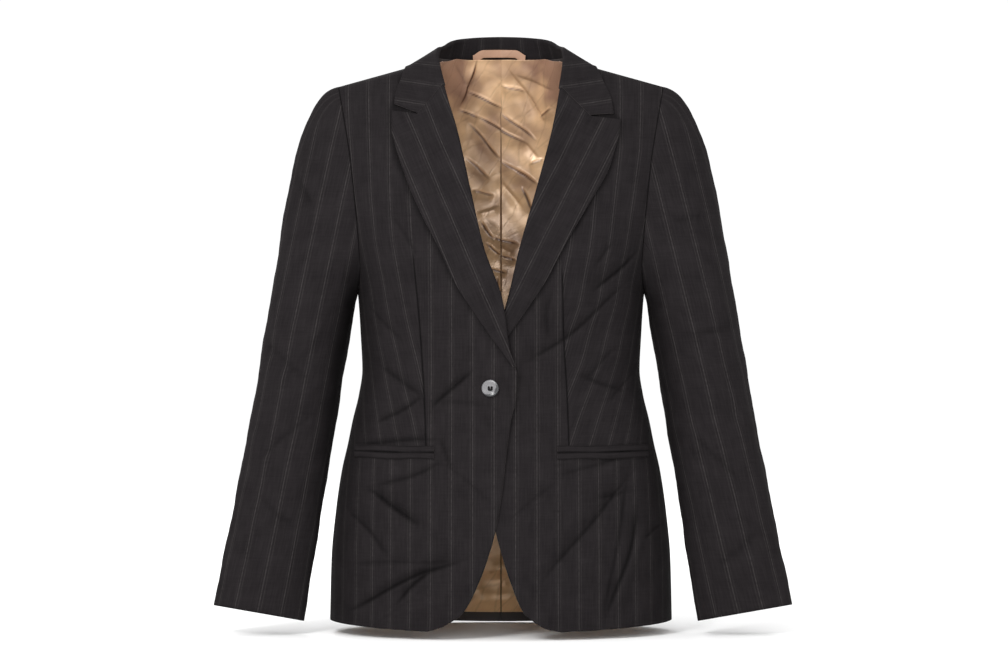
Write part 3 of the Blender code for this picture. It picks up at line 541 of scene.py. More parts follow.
@dataclass(frozen=True)
class WoolSuiting:
    """Charcoal worsted wool, woven in a fine twill with a pale pinstripe.

    The eye sees a matte, faintly brown black with thin broken stripes and a hint of nap.
    """

    name: str
    phase: float                      # place of one stripe across the cloth
    lean: float = 0.0                 # drift of the stripes along the cloth
    spacing: float = 0.0254           # one inch between stripes
    lines: tuple[tuple[float, float], ...] = ((0.0, 0.17), (0.0030, 0.07), (-0.0026, 0.04))
    width: float = 0.0008             # half width of a line's soft edge, about two yarns
    clouds: tuple[float, float] = (38.0, 1400.0)               # cells per metre of colour drift and of fibres
    slub: tuple[float, float, float] = (900.0, 240.0, 1.0)     # breaks in the stripes
    warp: tuple[float, float, float] = (620.0, 34.0, 1.0)
    weft: tuple[float, float, float] = (34.0, 520.0, 1.0)
    yarn: float = 0.0011              # drawn twice as coarse as the real yarn, so that it shows
    seam_reach: float = 0.0016        # a sewn seam's dark line
    ground: str = "#141213"
    lighter: str = "#292627"
    # inner faces painted paler: painted light where the lamps hardly reach
    stripe: str = "#696563"
    painted_inner_light: str = "#6a6462"          # the cloth's unpressed inner face is paler
    # colour of painted shade along creases and beside parts, and of the dark line of sewn seams
    shade: str = "#050505"

    def line(self, across: Value, offset: float) -> Value:
        """Strength of a line that comes back in each repeat, falling as a parabola beside it.

        Args:
            across: place across the cloth.
            offset: where the line lies in the repeat.

        Returns:
            1 on the line and 0 off it.
        """
        shifted = across - (self.phase + offset - self.spacing / 2)
        away = abs(shifted.wrapped(self.spacing) - self.spacing / 2) / self.width
        return (1.0 - away * away).most(0.0)

    def make(self) -> Material:
        """Stripes, twill and colour drift from the cloth's own flat places, and painted shade.

        Returns:
            The material.
        """
        tree = Tree(self.name)
        across, along, take_up = tree.add("Attribute", {}, "Vector", attribute_name="cloth").split()
        from_seam, inside, sewn = tree.add("Attribute", {}, "Vector", attribute_name="cut").split()
        # painted shade: dark lines along creases, and deep shade beside parts
        crease = tree.add("Attribute", {}, "Fac", attribute_name="crease")
        across = across + take_up * from_seam.over(0.0) + along * self.lean
        place = tree.add("CombineXYZ", {0: across, 1: along})
        broken = tree.drawn_out(place, self.slub, 3.0) * 2.3 - 0.45
        stripes = sum(self.line(across, offset) * strength for offset, strength in self.lines)
        drift, fibre = (tree.add("TexNoise", {"Vector": place, "Scale": cells}) for cells in self.clouds)
        threads = tree.drawn_out(place, self.warp) * 0.62 + tree.drawn_out(place, self.weft) * 0.34
        colour = (drift * 0.45 + fibre * 0.35 + threads - 0.43).between(self.ground, self.lighter)
        colour = (stripes * broken * (1.0 - inside)).between(colour, self.stripe)
        # inner faces painted paler: painted light
        colour = (inside * 0.6).between(colour, self.painted_inner_light)
        near = (1.0 - (abs(from_seam) / self.seam_reach).least(1.0)) * sewn
        # dark line of sewn seams, and painted shade
        colour = (near * 0.8).most(crease * 0.70).between(colour, self.shade)
        twill = ((across + along * 0.5) * (2.0 * math.pi / self.yarn)).sine()
        height = twill * 0.25 + fibre - near * 6.0
        relief = tree.add("Bump", {"Height": height, "Strength": 0.55, "Distance": 0.00022})
        return tree.finish(Base_Color=colour, Normal=relief, Roughness=0.80, Specular_IOR_Level=0.015,
                           Sheen_Weight=0.012, Sheen_Roughness=0.4, Sheen_Tint="#d8cdca")


@dataclass(frozen=True)
class SatinLining:
    """Golden beige acetate satin, woven with long floats.

    The eye sees a broad soft shine, and sharp pressed creases with a dark line beside a light one.  The dark lines are
    partly painted shade, the top corners are painted darker and the hem paler: painted shade and painted light.
    """

    name: str = "acetate_satin_lining"
    light: str = "#e8bf93"
    # the darker end of the lining's tone, also the colour of the shade painted in its top corners
    deep: str = "#9b7863"
    # colour of the dark seam line, and of painted shade along creases and facet edges
    fold: str = "#4a2b19"
    low: str = "#ffcf98"              # painted light: paler towards the hem, for the light that comes in under it
    roughness: float = 0.32
    # depth of each layer of facets, its slant, and its cells per metre across and along the creases
    creases: tuple[tuple[float, float, float, float], ...] = ((0.36, 0.60, 46.0, 15.0), (0.12, 1.05, 75.0, 26.0))
    wander: float = 0.009
    edge_reach: float = 0.07          # share of a cell that its pressed edge and the painted shade along it take up
    seam_reach: float = 0.0014
    floats: tuple[float, float, float] = (2600.0, 240.0, 0.0)

    def facets(self, tree: Tree, place: Value, slant: float, across: float, along: float) -> tuple[Value, ...]:
        """Slanted facets: distance to the nearest cell edge, and the cells' own smooth heights.

        Args:
            tree: the node tree.
            place: place on the cloth in metres.
            slant: angle that the creases are turned by.
            across: cells per metre across the creases.
            along: cells per metre along them.

        Returns:
            The edge distance and the smooth height.
        """
        bent = tree.add("TexNoise", {"Vector": place, "Scale": 28.0}, "Color")
        offset = tree.add("VectorMath", {0: bent, "Scale": self.wander}, operation="SCALE")
        moved = tree.add("VectorMath", {0: place, 1: offset}, operation="ADD")
        turned = tree.add("Mapping", {"Vector": moved, "Rotation": (0.0, 0.0, slant)})
        cells = tree.add("Mapping", {"Vector": turned, "Scale": (across, along, 0.0)})
        return tuple(tree.add("TexVoronoi", {"Vector": cells, "Scale": 1.0, **more}, "Distance", feature=feature,
                              voronoi_dimensions="2D")
                     for feature, more in (("DISTANCE_TO_EDGE", {}), ("SMOOTH_F1", {"Smoothness": 0.35})))

    def make(self) -> Material:
        """Two layers of facets in slants of their own, a seam and fine floats of thread, with painted shade along the
        creases and in the top corners, and painted light towards the hem.

        Returns:
            The material.
        """
        tree = Tree(self.name)
        place = tree.add("Attribute", {}, "Vector", attribute_name="cloth")
        from_seam, _, sewn = tree.add("Attribute", {}, "Vector", attribute_name="cut").split()
        # painted shade along the creases of the lining
        crease = tree.add("Attribute", {}, "Fac", attribute_name="crease")
        height, calm = 0.0, 1.0
        for depth, slant, across, along in self.creases:
            edge, cell = self.facets(tree, place, slant, across, along)
            near = (edge / self.edge_reach).least(1.0)
            height = height + cell * depth + near * (0.10 * depth)
            # calm falls at the facets' edges, where shade is painted
            calm = calm * (1.0 - (1.0 - near) * (0.42 * depth))
        up = place.split()[1]
        # painted shade in the top corners: towards the deep colour away from the centre seam, high up
        high = tree.add("MapRange", {0: up, 1: -0.060, 2: 0.010}, interpolation_type="SMOOTHSTEP")
        beside = (from_seam - 0.020).most(0.0)
        broad = tree.add("TexNoise", {"Vector": place, "Scale": 24.0})
        colour = ((broad - 0.22) * 2.4 - beside * (high * 22.0)).between(self.deep, self.light)
        # painted light, paler towards the hem
        colour = tree.add("MapRange", {0: up, 1: -0.45, 2: -0.60, 4: 0.8}).between(colour, self.low)
        # painted shade along the facets' edges
        colour = (1.0 - calm).between(colour, self.fold)
        seam = (1.0 - (from_seam / self.seam_reach).least(1.0)) * sewn
        # dark seam line, and painted shade
        colour = seam.most((crease * 1.7).least(0.95)).between(colour, self.fold)
        relief = tree.add("Bump", {"Height": height - seam * 0.15, "Strength": 0.8, "Distance": 0.0045})
        threads = tree.drawn_out(place, self.floats, 1.0)
        relief = tree.add("Bump", {"Height": threads, "Strength": 0.2, "Distance": 0.0001, "Normal": relief})
        return tree.finish(Base_Color=colour, Normal=relief, Roughness=self.roughness, Specular_IOR_Level=0.65,
                           Metallic=0.10, Sheen_Weight=0.08, Sheen_Roughness=0.4)


@dataclass(frozen=True)
class PolyesterButton:
    """Cast polyester button, turned and polished: dark grey with a wet shine, and a pale reflection painted over its
    upper left.
    """

    name: str = "polished_polyester_button"
    dark: str = "#2c2c2e"
    # colour of the painted reflection
    pale: str = "#6f6e70"
    reflection_centre: tuple[float, float] = (-0.0154, -0.3838)           # X and Z of the middle of the painted reflection
    reach: tuple[float, float] = (0.0088, 0.0100)              # where the painted reflection starts to end, and ends

    def make(self) -> Material:
        """A painted reflection: pale round a point on the upper left, dark towards the lower right edge, its border
        wandering with noise.

        Returns:
            The material.
        """
        tree = Tree(self.name)
        where = tree.add("TexCoord", {}, "Object")
        x, _, z = where.split()
        faced = tree.add("CombineXYZ", {0: x, 1: z})
        away = tree.add("VectorMath", {0: faced, 1: (*self.reflection_centre, 0.0)}, "Value", operation="DISTANCE")
        cloud = tree.add("TexNoise", {"Vector": where, "Scale": 160.0, "Detail": 3.0})
        away = away + (cloud - 0.5) * 0.003
        # share of the way out of the painted reflection
        beyond_reflection = tree.add("MapRange", {0: away, 1: self.reach[0], 2: self.reach[1]})
        scratch = tree.add("TexNoise", {"Vector": where, "Scale": 2200.0})
        relief = tree.add("Bump", {"Height": scratch, "Strength": 0.06, "Distance": 0.0001})
        return tree.finish(Base_Color=beyond_reflection.between(self.pale, self.dark), Roughness=0.24, Normal=relief, IOR=1.55)


@dataclass(frozen=True)
class SewingThread:
    """Black polyester sewing thread, twisted and nearly matte."""

    name: str = "black_sewing_thread"
    colours: tuple[str, str] = ("#0b0a0b", "#171616")

    def make(self) -> Material:
        """Twist marks along the thread.

        Returns:
            The material.
        """
        tree = Tree(self.name)
        twist = tree.add("TexNoise", {"Vector": tree.add("TexCoord", {}, "Object"), "Scale": 2600.0})
        relief = tree.add("Bump", {"Height": twist, "Strength": 0.4, "Distance": 0.0001})
        return tree.finish(Base_Color=twist.between(*self.colours), Normal=relief, Roughness=0.70,
                           Specular_IOR_Level=0.10)


@dataclass(frozen=True)
class StudioPaper:
    """Seamless white background paper, quite matte."""

    name: str = "seamless_white_paper"
    colours: tuple[str, str] = ("#fefefe", "#fcfcfc")

    def make(self) -> Material:
        """Faint mottling of the paper.

        Returns:
            The material.
        """
        tree = Tree(self.name)
        mottle = tree.add("TexNoise", {"Vector": tree.add("TexCoord", {}, "Object"), "Scale": 3.0})
        return tree.finish(Base_Color=mottle.between(*self.colours), Roughness=1.0, Specular_IOR_Level=0.0)


# ---------------------------------------------------------------- the body's form
class Face(Enum):
    """The half of the trunk that faces forwards or backwards; the value names its columns."""

    FRONT = "front"
    BACK = "back"


@dataclass
class BodyForm:
    """The hollow form of the trunk: sections by how far they lie below the shoulder line."""

    neck_level: float = 0.0341
    shoulder_slope: float = 0.277
    neck_rise: float = 0.045
    neck_spread: float = 0.066
    neck_side: float = 0.078
    back_neck: float = 0.018
    neck_curve: float = 2.2           # power of the back neckline's climb
    arm_level: float = -0.272
    slope_full: float = -0.050        # above this the sections follow the shoulders' slope
    slope_none: float = -0.240        # below this they are level
    front_hem: float = -0.6750
    side_hem: float = -0.6690
    back_hem: float = -0.6830
    hem_half_width: float = 0.207
    lowest: float = -0.30             # where the search for a height starts
    sections: Curves = Curves("fall half_width front back roundness", """
        0 240 0 0 2.4, 10 236 27 28 2.4, 30 230 48 50 2.4, 60 222 68 71 2.4, 105 212 90 92 2.4,
        160 202 109 107 2.35, 210 193 121 114 2.3, 250 186 126 115 2.25, 280 180 126 113 2.2,
        306.1 174.5 123 109 2.15, 360 170.8 115 97 2.1, 400 169 112 91 2.1, 430 173.2 112.5 92 2.1,
        460 180.5 114.5 98 2.1, 490 186.6 117.5 106 2.1, 520 193.5 120.5 113 2.1, 570 201 125 120 2.1,
        630 206.5 129 126 2.1, 720 208.5 131 129 2.1""", root_spaced=True)
    armhole: Curves = Curves("share front back", """
        0 174.5 174.5, 0.05 170.5 171.5, 0.12 169.5 171, 0.25 171 173, 0.45 175.5 177.5, 0.65 181.5 183.5,
        0.85 190 191, 1 197 197""")

    def ridge(self, x: Array) -> Array:
        """Height of the shoulder line: a straight slope and a flat-topped climb to the neck."""
        climb = self.neck_rise * np.exp(-((np.abs(x) / self.neck_spread) ** 6))
        return self.neck_level - self.shoulder_slope * np.abs(x) + climb

    def fall(self, x: Array, z: Array) -> Array:
        """Distance below the shoulder line; lower down the sections grow level."""
        follow = ease((z - self.slope_none) / (self.slope_full - self.slope_none))
        return np.maximum(self.neck_level - z - follow * (self.neck_level - self.ridge(x)), 0.0)

    def half_width(self, x: Array, z: Array) -> Array:
        """Half width of the section that a place lies in."""
        return self.sections.at("half_width", self.fall(x, z))

    def depth(self, x: Array, z: Array, face: Face) -> Array:
        """Distance from the plane of the side seams: a rounded ellipse of the section's sizes.

        Args:
            x: places to the side.
            z: heights.
            face: the front or the back of the trunk.

        Returns:
            The depth at each place, zero at the side seam.
        """
        below = self.fall(x, z)
        power = self.sections.at("roundness", below)
        share = np.clip(np.abs(x) / self.sections.at("half_width", below), 0.0, 1.0)
        return self.sections.at(face.value, below) * (1.0 - share**power) ** (1.0 / power)

    def back_neck_height(self, x: Array) -> Array:
        """Height of the back neckline, which climbs to the shoulder seam."""
        drop = self.back_neck - self.ridge(np.array(self.neck_side))
        return self.back_neck - drop * np.clip(np.abs(x) / self.neck_side, 0.0, 1.0) ** self.neck_curve

    def hem_height(self, x: Array, face: Face) -> Array:
        """Height of the hem, which climbs a little to the side seams."""
        middle = self.front_hem if face is Face.FRONT else self.back_hem
        return middle + (self.side_hem - middle) * np.clip(np.abs(x) / self.hem_half_width, 0.0, 1.0) ** 2

    def height_over(self, x: Array, y: Array) -> Array:
        """Height of the form above a place seen from above, found by halving.

        Args:
            x: places to the side.
            y: places from front to back.

        Returns:
            The height at each place.
        """
        target = np.abs(y)
        low, high = np.full_like(target, self.lowest), self.ridge(x) + 0.0 * target
        for _ in range(30):
            middle = (low + high) / 2
            here = np.where(y < 0.0, self.depth(x, middle, Face.FRONT), self.depth(x, middle, Face.BACK))
            low, high = np.where(here > target, middle, low), np.where(here > target, high, middle)
        return (low + high) / 2

    def over(self, points: Array, lift: Array | float, step: float = 0.002) -> Array:
        """Points raised until they clear the form by the lift, measured square to its slope.

        Args:
            points: the points.
            lift: distance that they clear the form by.
            step: distance over which the slope is measured.

        Returns:
            The raised points.
        """
        x, y, z = np.moveaxis(points, -1, 0)
        slope_x = (self.height_over(x + step, y) - self.height_over(x - step, y)) / (2 * step)
        slope_y = (self.height_over(x, y + step) - self.height_over(x, y - step)) / (2 * step)
        clear = self.height_over(x, y) + lift * np.sqrt(1.0 + slope_x**2 + slope_y**2)
        return np.stack([x, y, np.maximum(z, clear)], axis=-1)


@dataclass
class FrontCut:
    """What is particular to one front: its edge, break, folds and dart."""

    side: Side
    break_height: float               # where the lapel starts to turn
    phase: float                      # place of one stripe across the front
    pocket: tuple[float, float]       # ends of the pocket's mouth
    edge: Curves
    folds: tuple[Fold, ...]           # broad folds, which the CAD has too
    creases: tuple[Fold, ...]         # narrow ones, only in the picture
    dart_line: Curves
    take_up: Curves                   # width of cloth that the dart takes away
    leaf: Curves                      # outer edge of the turned lapel and collar, and the shade beside it


RIGHT_CUT = FrontCut(
    side=Side.RIGHT, break_height=-0.3680, phase=0.0080, pocket=(0.0795, 0.1752),
    edge=Curves("height x", """
        -676 100, -673.5 85, -669 71, -660.4 56, -649.7 43.5, -615.4 26, -587 15.4, -552.1 5.9, -508.9 -1.2,
        -454.5 -7.5, -423.8 -11.8, -401.3 -17.2, -370.5 -18.9, -340 -10.5, -283 -2.4, -222.7 18.9, -151 35.6,
        -78.8 51.3, -38 63.2, 5 75"""),
    folds=folds("""
        158 -500 98 -550 12 -4, 150 -522 90 -572 11 3, 165 -555 138 -592 10 -3, 150 -430 80 -410 10 -2.2,
        78 -400 38 -368 9 -2.5, 172 -655 55 -592 13 -3, 150 -668 45 -620 11 2.6"""),
    creases=folds("""
        156 -509 100 -548 6.2 -6.2 1.5 3, 81.5 -409.5 34.5 -367.5 4.6 -4 2 3,
        146.5 -361.1 94.5 -395.4 4.8 -2.8 1.5 2.5, 148 -428.3 94.5 -397 4.6 -3.2 -1.5 2.5,
        73.2 -402.5 15 -404.8 5 -1.4 0 2, 148.2 -503.7 73.2 -475.8 5 -3 -2 2.5,
        186.8 -530 135.9 -583.5 5.8 -3.4 2 2.5, 195 -597.7 52 -590.6 6 -2 0 2,
        184.4 -653.3 49.5 -589.4 6.6 -4.8 3 3, 122.2 -639.1 85 -603 5.5 -4.4 1 3, 148 -664 90 -618 6 2.6 0 2,
        176 -453.4 80 -447 4.5 -3.6 0 2.5, 72 -447.4 56 -485 5 -2.4 0 2.5, 165 -280 120 -330 8 -2.2 0 2,
        130 -180 100 -225 8 -1.8 0 2, 60 -480 12 -520 8 -1.4 0 2, 150 -620 120 -560 6 2 0 2"""),
    dart_line=Curves("height x", """
        -457.3 89, -423.2 90.2, -320 96, -220 105.1"""),
    take_up=Curves("height width", """
        -462.8 62, -423.2 52.5, -373.2 37.5, -353.7 32.5, -302.4 18.5, -246.4 7.5, -207.3 2, -158.5 0"""),
    leaf=Curves("height x shade", """
        -368 -18.5 0, -336.2 4 0.25, -258 55.6 0.5, -222.7 71.7 0.62, -184.6 91.6 0.72, -139.5 111.5 0.72,
        -92.4 127 0.62, -54.5 130.7 0.5, -47.3 127.5 0.75, -25 119.5 0.75, 6 112 0.55, 30 100 0.2"""))

LEFT_CUT = FrontCut(
    side=Side.LEFT, break_height=-0.3850, phase=0.0174, pocket=(0.0666, 0.1765),
    edge=Curves("height x", """
        -676 90, -673.5 66, -669 50, -660.4 37, -652.1 27.5, -622.5 14.2, -587 2.4, -556.3 -5.9, -500 -19,
        -440 -27, -405 -29, -385 -27, -340 -11, -283 7.2, -222.7 21.3, -151 41.5, -78.8 60, -43 67, 5 75"""),
    folds=folds("""
        160 -225 45 -350 13 -3.6, 150 -245 55 -372 12 2.2, 155 -485 48 -625 14 -3.6, 175 -545 150 -575 11 -2.8,
        160 -565 130 -655 12 2.8, 150 -395 90 -375 10 -2"""),
    creases=folds("""
        162 -225 112 -270 6.4 -4.2 0 2.5, 148 -264 34.5 -354 5.6 -3.6 -3 3, 132 -214 112 -240 5.6 -2.6 0 2,
        166.4 -455.1 70.7 -490 8.5 -2.2 -3 1.6, 157.5 -490 53.4 -611.9 5.2 -3.4 3 3,
        150.4 -510.7 117.3 -517.2 4.4 -2.8 0 2.5, 164.6 -525 126.3 -656 7 -4.8 -4 3,
        196 -549.2 171.7 -566.4 5 -3.6 0 2.5, 176 -545 140 -656 8 3 0 2, 156 -480 124 -660 18 -3 3 2,
        58 -275 56 -330 5.6 -2.6 3 2, 150 -392 96 -372 5 -2.8 0 2.5, 165 -360 130 -402 5.6 -2.6 0 2,
        135 -340 100 -376 5 -2.2 0 2, 105 -150 85 -200 7.5 -1.8 0 2, 62 -500 10 -540 7.5 -1.4 0 2"""),
    dart_line=Curves("height x", """
        -457.3 81, -400 79, -320 74.5, -240 72.7"""),
    take_up=Curves("height width", """
        -462.8 90, -419 74, -383.3 58.5, -351.2 45, -317.8 35.2, -282.1 22.8, -250 17.2, -218 11.2, -170 6.5,
        -100 0"""),
    leaf=Curves("height x shade", """
        -385 -27 0, -323 9.5 0.35, -258.1 53.3 0.55, -219 74 0.62, -184.6 94 0.62, -157.6 110.1 0.62,
        -125 128.4 0.55, -80.8 141.6 0.45, -65.3 143.4 0.45, -59 134.5 0.7, -25 121.5 0.7, 6 113 0.55,
        30 100 0.2"""))

BACK_FOLDS = {
    Side.RIGHT: folds("""
        150 -240 50 -330 12 -3.4 4 2, 158 -380 70 -352 8 -3.2 0 2.5, 155 -412 60 -425 8 -2.4 0 2,
        170 -560 90 -640 11 -3 3 2, 120 -80 40 -120 11 -2, 165 -620 130 -500 12 2.4"""),
    Side.LEFT: folds("""
        145 -260 70 -315 11 -3.2 0 2, 150 -365 55 -372 8 -3.4 -2 2.5, 160 -430 85 -398 8 -2.4 0 2,
        175 -590 60 -610 11 -2.6 4 2, 110 -100 60 -160 11 -2, 150 -640 110 -540 12 2.4""")}

LINING_FOLDS = folds("""
    -32 19.8 -55.5 -32.2 11.4 -3 0 5.7, -63.3 13.5 -47.6 -11.5 8.8 1.8 0 4.4,
    -46.4 -16.5 -0.1 -36.6 10.5 -3 0 5.2, -57 -40.3 -30.1 -49.1 9.6 -2.8 0 4.8,
    -31.3 -48.5 28.7 -80.4 11.4 -3.4 0 5.7, -41.4 -57.2 -2.6 -101 10.5 -3 0 5.2,
    -45.1 -101 -16.3 -126 9.6 -2.6 0 4.8, 0.8 -44.7 43.1 -76.6 10.5 -3 0 5.2, 11.8 7.3 55 -49.1 14 3.4 0 7,
    21.2 2.3 69.7 -17.8 10.5 2.4 0 5.2, 28.7 -80.4 46.3 -99.1 8.8 2.8 0 4.4,
    -0.7 -105.4 40 -127.9 10.5 -2.8 0 5.2, 53.8 -49.1 68.8 -39 7 -2.4 0 3.5, 2.4 -10.3 30.6 -17.8 7.9 -2.2 0 4,
    37.5 -109.1 53.8 -102.9 7 -2 0 3.5, -35.7 -142.4 -10.7 -147.9 7.9 -2.4 0 4,
    -28.8 -171.7 -4.4 -163.6 7.9 2.4 0 4, 17.5 -116.6 46.3 -132.9 9.6 -2.6 0 4.8,
    -0.1 -129.2 27.5 -164.2 10.5 2.6 0 5.2, 26.2 -137.9 39.4 -166.7 10.5 -3 0 5.2,
    -26.3 -182.4 -10.1 -204.2 8.8 -3 0 4.4, -10.7 -201.7 20 -209.8 7.9 -3 0 4,
    -18.8 -209.2 -1.3 -224.3 7.9 -3 0 4, -1.3 -210.5 15 -221.8 7 2.4 0 3.5, -13.8 -241.8 5 -246.8 7 -3 0 3.5,
    -1.3 -224.3 17.5 -230.5 7 -2.8 0 3.5, -5.1 -251.8 -2.6 -279.3 6.1 -2.6 0 3.1, -13 -612 18 -606 10 -4 2 4,
    -28.8 -631 11.2 -626.5 10.5 5 0 5.2, -33.8 -651.1 18.7 -647.3 10.5 -4.6 0 5.2""")

SLEEVE_FOLDS = {                      # x is the angle round the sleeve times its fold radius
    Side.RIGHT: folds("""
        18 -128 52 -166 8 -4 2 2.5, 55 -70 95 -150 10 2.2 0 2, 20 -330 90 -375 10 -2.6 0 2,
        100 -300 40 -420 11 2.2 0 2, 110 -410 50 -470 9 -3 0 2.5, 60 -520 110 -560 10 -2.6 0 2,
        30 -440 80 -500 10 1.8 0 2, -80 -200 -30 -280 11 -3 0 2, -100 -400 -30 -450 10 -2.8 0 2"""),
    Side.LEFT: folds("""
        40 -178 75 -186 7.5 -2.8 0 2.5, 60 -90 90 -160 10 2.2 0 2, 30 -310 95 -325 7.5 -2.8 0 2.5,
        90 -340 30 -440 11 2.4 0 2, 105 -440 60 -500 9 -3 0 2.5, 50 -560 100 -600 10 -2.4 0 2,
        35 -250 80 -285 10 1.8 0 2, -90 -180 -40 -260 11 -2.8 0 2, -90 -420 -30 -470 10 -2.6 0 2""")}


@dataclass
class Torso:
    """Fronts, backs and back lining: panels between hem, side seam, armhole and shoulder."""

    form: BodyForm = field(default_factory=BodyForm)
    lower_rows: int = 180             # hem to underarm
    chest_rows: int = 100             # underarm to gorge
    shoulder_rows: int = 30           # gorge to shoulder line
    front_columns: int = 104
    back_neck_columns: int = 24
    back_columns: int = 34
    gorge_share: float = 0.83
    fold_radius: float = 0.0030
    fold_radius_break: float = 0.0019
    fold_grows: float = 0.12          # height above the break at which the fold has its full radius
    pocket_height: float = -0.4628
    lining_gap: float = 0.0015
    pad_gap: float = 0.0025
    lining_neck_rise: float = 0.0030
    lining_hem_rise: float = 0.0120
    lining_share: float = 0.96        # how far out the lining reaches
    lining_crease: float = 0.0011     # reach of the painted shade along creases in satin
    lap_starts: float = 0.075         # outward place where the right front starts to lift over the left
    lap_run: float = 0.065            # width over which it does
    leaf_shade_reach: float = 0.0095
    flank_shade: float = 0.55
    lap_lift: Curves = Curves("height lift", """
        -676 0, -580 1.2, -520 3.4, -430 5.2, -370 7.4, -290 7.4, -230 4, -130 0""")

    @cached_property
    def plan(self) -> tuple[Array, Array]:
        """Shares of the way up for each row: even below, wider or closer steps above.

        Returns:
            Shares from hem to underarm, then from underarm to shoulder line.
        """
        lower = np.linspace(0.0, 1.0, self.lower_rows)
        chest = self.gorge_share * (np.arange(1, self.chest_rows + 1) / self.chest_rows) ** 1.25
        left_over = 1.0 - np.arange(1, self.shoulder_rows + 1) / self.shoulder_rows
        return lower, np.concatenate([chest, 1.0 - (1.0 - self.gorge_share) * left_over**1.7])

    @property
    def rows(self) -> int:
        """Number of rows of every panel."""
        return self.lower_rows + self.chest_rows + self.shoulder_rows

    @property
    def gorge(self) -> int:
        """Number of the row that the gorge lies on."""
        return self.lower_rows - 1 + self.chest_rows

    def roll_radius(self, cut: FrontCut, z: Array) -> Array:
        """Radius of the rolled fold, smaller towards the break."""
        share = ease((z - cut.break_height) / self.fold_grows)
        return self.fold_radius_break + (self.fold_radius - self.fold_radius_break) * share

    def front_edge(self, cut: FrontCut, z: Array) -> Array:
        """Outward place of a front's cut edge, which the lapel's fold covers above the break."""
        turned = ease((z - cut.break_height) / 0.010)
        return cut.edge.at("x", z) + turned * (self.roll_radius(cut, z) + SEAM)

    def front_depth(self, cut: FrontCut, x: Array, z: Array, fine: bool = False) -> Array:
        """Depth of a finished front: the form, its folds and, on the right, the lap.

        Args:
            cut: the front.
            x: outward places.
            z: heights.
            fine: whether the narrow creases and the unevenness are added.

        Returns:
            Distance of the outer face from the plane of the side seams.
        """
        base = self.form.depth(x, z, Face.FRONT)
        lift = folds_height(cut.folds, x, z)
        if fine:
            calm, seed = ease((x - cut.edge.at("x", z)) / 0.03), cut.side.value
            rough = 0.0011 * uneven(x, z, 0.075, 1.0 + seed) + 0.0004 * uneven(x, z, 0.024, 5.0 + seed)
            lift = lift + folds_height(cut.creases, x, z) + calm * rough
        lift = lift * ease(base / 0.06)
        if cut.side is Side.RIGHT:
            lift = lift + self.lap_lift.at("lift", z) * ease((self.lap_starts - x) / self.lap_run)
        return base + lift

    def front_point(self, cut: FrontCut, x: Array, z: Array, lift: Array | float = 0.0,
                    step: float = 0.0005) -> tuple[Array, Array]:
        """Point of a front's outer face moved out along its normal, and that normal.

        Args:
            cut: the front.
            x: outward places.
            z: heights.
            lift: distance moved out.
            step: distance over which the slope is measured.

        Returns:
            The points and the normals.
        """
        y = -self.front_depth(cut, x, z)
        slope_x = -(self.front_depth(cut, x + step, z) - self.front_depth(cut, x - step, z)) / (2 * step)
        slope_z = -(self.front_depth(cut, x, z + step) - self.front_depth(cut, x, z - step)) / (2 * step)
        normal = unit(np.stack([slope_x, -np.ones_like(y), slope_z], axis=-1))
        point = np.stack([x * np.ones_like(y), y - SEAM / 2, z * np.ones_like(y)], axis=-1)
        return point + normal * np.broadcast_to(np.asarray(lift), y.shape)[..., None], normal

    def spread(self, x_in: Array, x_out: Array, half: Array, columns: int) -> Array:
        """Places between two edges at even steps of the angle round the section.

        Args:
            x_in: inner place of each row.
            x_out: outer place of each row.
            half: half width of each row's section.
            columns: number of places in a row.

        Returns:
            Outward places, rows by columns.
        """
        start, stop = (np.arcsin(np.clip(x / half, -1.0, 1.0)) for x in (x_in, x_out))
        sine = np.sin(start[:, None] + (stop - start)[:, None] * np.linspace(0.0, 1.0, columns))
        return x_in[:, None] + (x_out - x_in)[:, None] * (sine - sine[:, :1]) / (sine[:, -1:] - sine[:, :1])

    def heights(self, x: Array, face: Face, hem_rise: float = 0.0, neck_rise: float = 0.0) -> Array:
        """Heights of a grid of outward places: shares of the way up, row after row.

        Args:
            x: outward places, rows by columns.
            face: front or back.
            hem_rise: how far the panel ends above the hem.
            neck_rise: how far it reaches above the back neckline.

        Returns:
            The height of each place.
        """
        (lower, upper), form = self.plan, self.form
        place = x[self.lower_rows:]
        hem, top = form.hem_height(x[: self.lower_rows], face) + hem_rise, form.ridge(place)
        if face is Face.BACK:
            top = np.where(place < form.neck_side, form.back_neck_height(place), top)
            top = top + neck_rise * ease((0.072 - place) / 0.014)
        low = hem + (form.arm_level - hem) * lower[:, None]
        return np.concatenate([low, form.arm_level + (top - form.arm_level) * upper[:, None]])

    def outer_places(self, face: Face, hem_rise: float = 0.0) -> tuple[Array, Array]:
        """Outward places of side seam and armhole, and the half widths there.

        Args:
            face: front or back.
            hem_rise: how far the panel ends above the hem.

        Returns:
            Places and half widths, one for each row.
        """
        form, upper = self.form, self.plan[1]
        at_side = self.heights(np.full((self.rows, 1), form.hem_half_width), face, hem_rise)[: self.lower_rows, 0]
        low, arm = form.half_width(np.zeros_like(at_side), at_side), form.armhole.at(face.value, upper)
        arm_z = form.arm_level + (form.ridge(arm) - form.arm_level) * upper
        return np.concatenate([low, arm]), np.concatenate([low, form.half_width(arm, arm_z)])

    def to_side_seam(self, x: Array, z: Array) -> Array:
        """Outward places whose last column lies on the side seam below the underarm."""
        x[: self.lower_rows, -1] = self.form.half_width(x, z)[: self.lower_rows, -1]
        return x

    def settle(self, direction: Array) -> Array:
        """Turn wall directions into the planes of the side seam and of the shoulder seam.

        Args:
            direction: a direction for each point, of which the edge's are changed.

        Returns:
            Unit directions.
        """
        direction[: self.lower_rows, -1, 1] = 0.0
        direction[-1, :, 1] = 0.0
        return unit(direction)

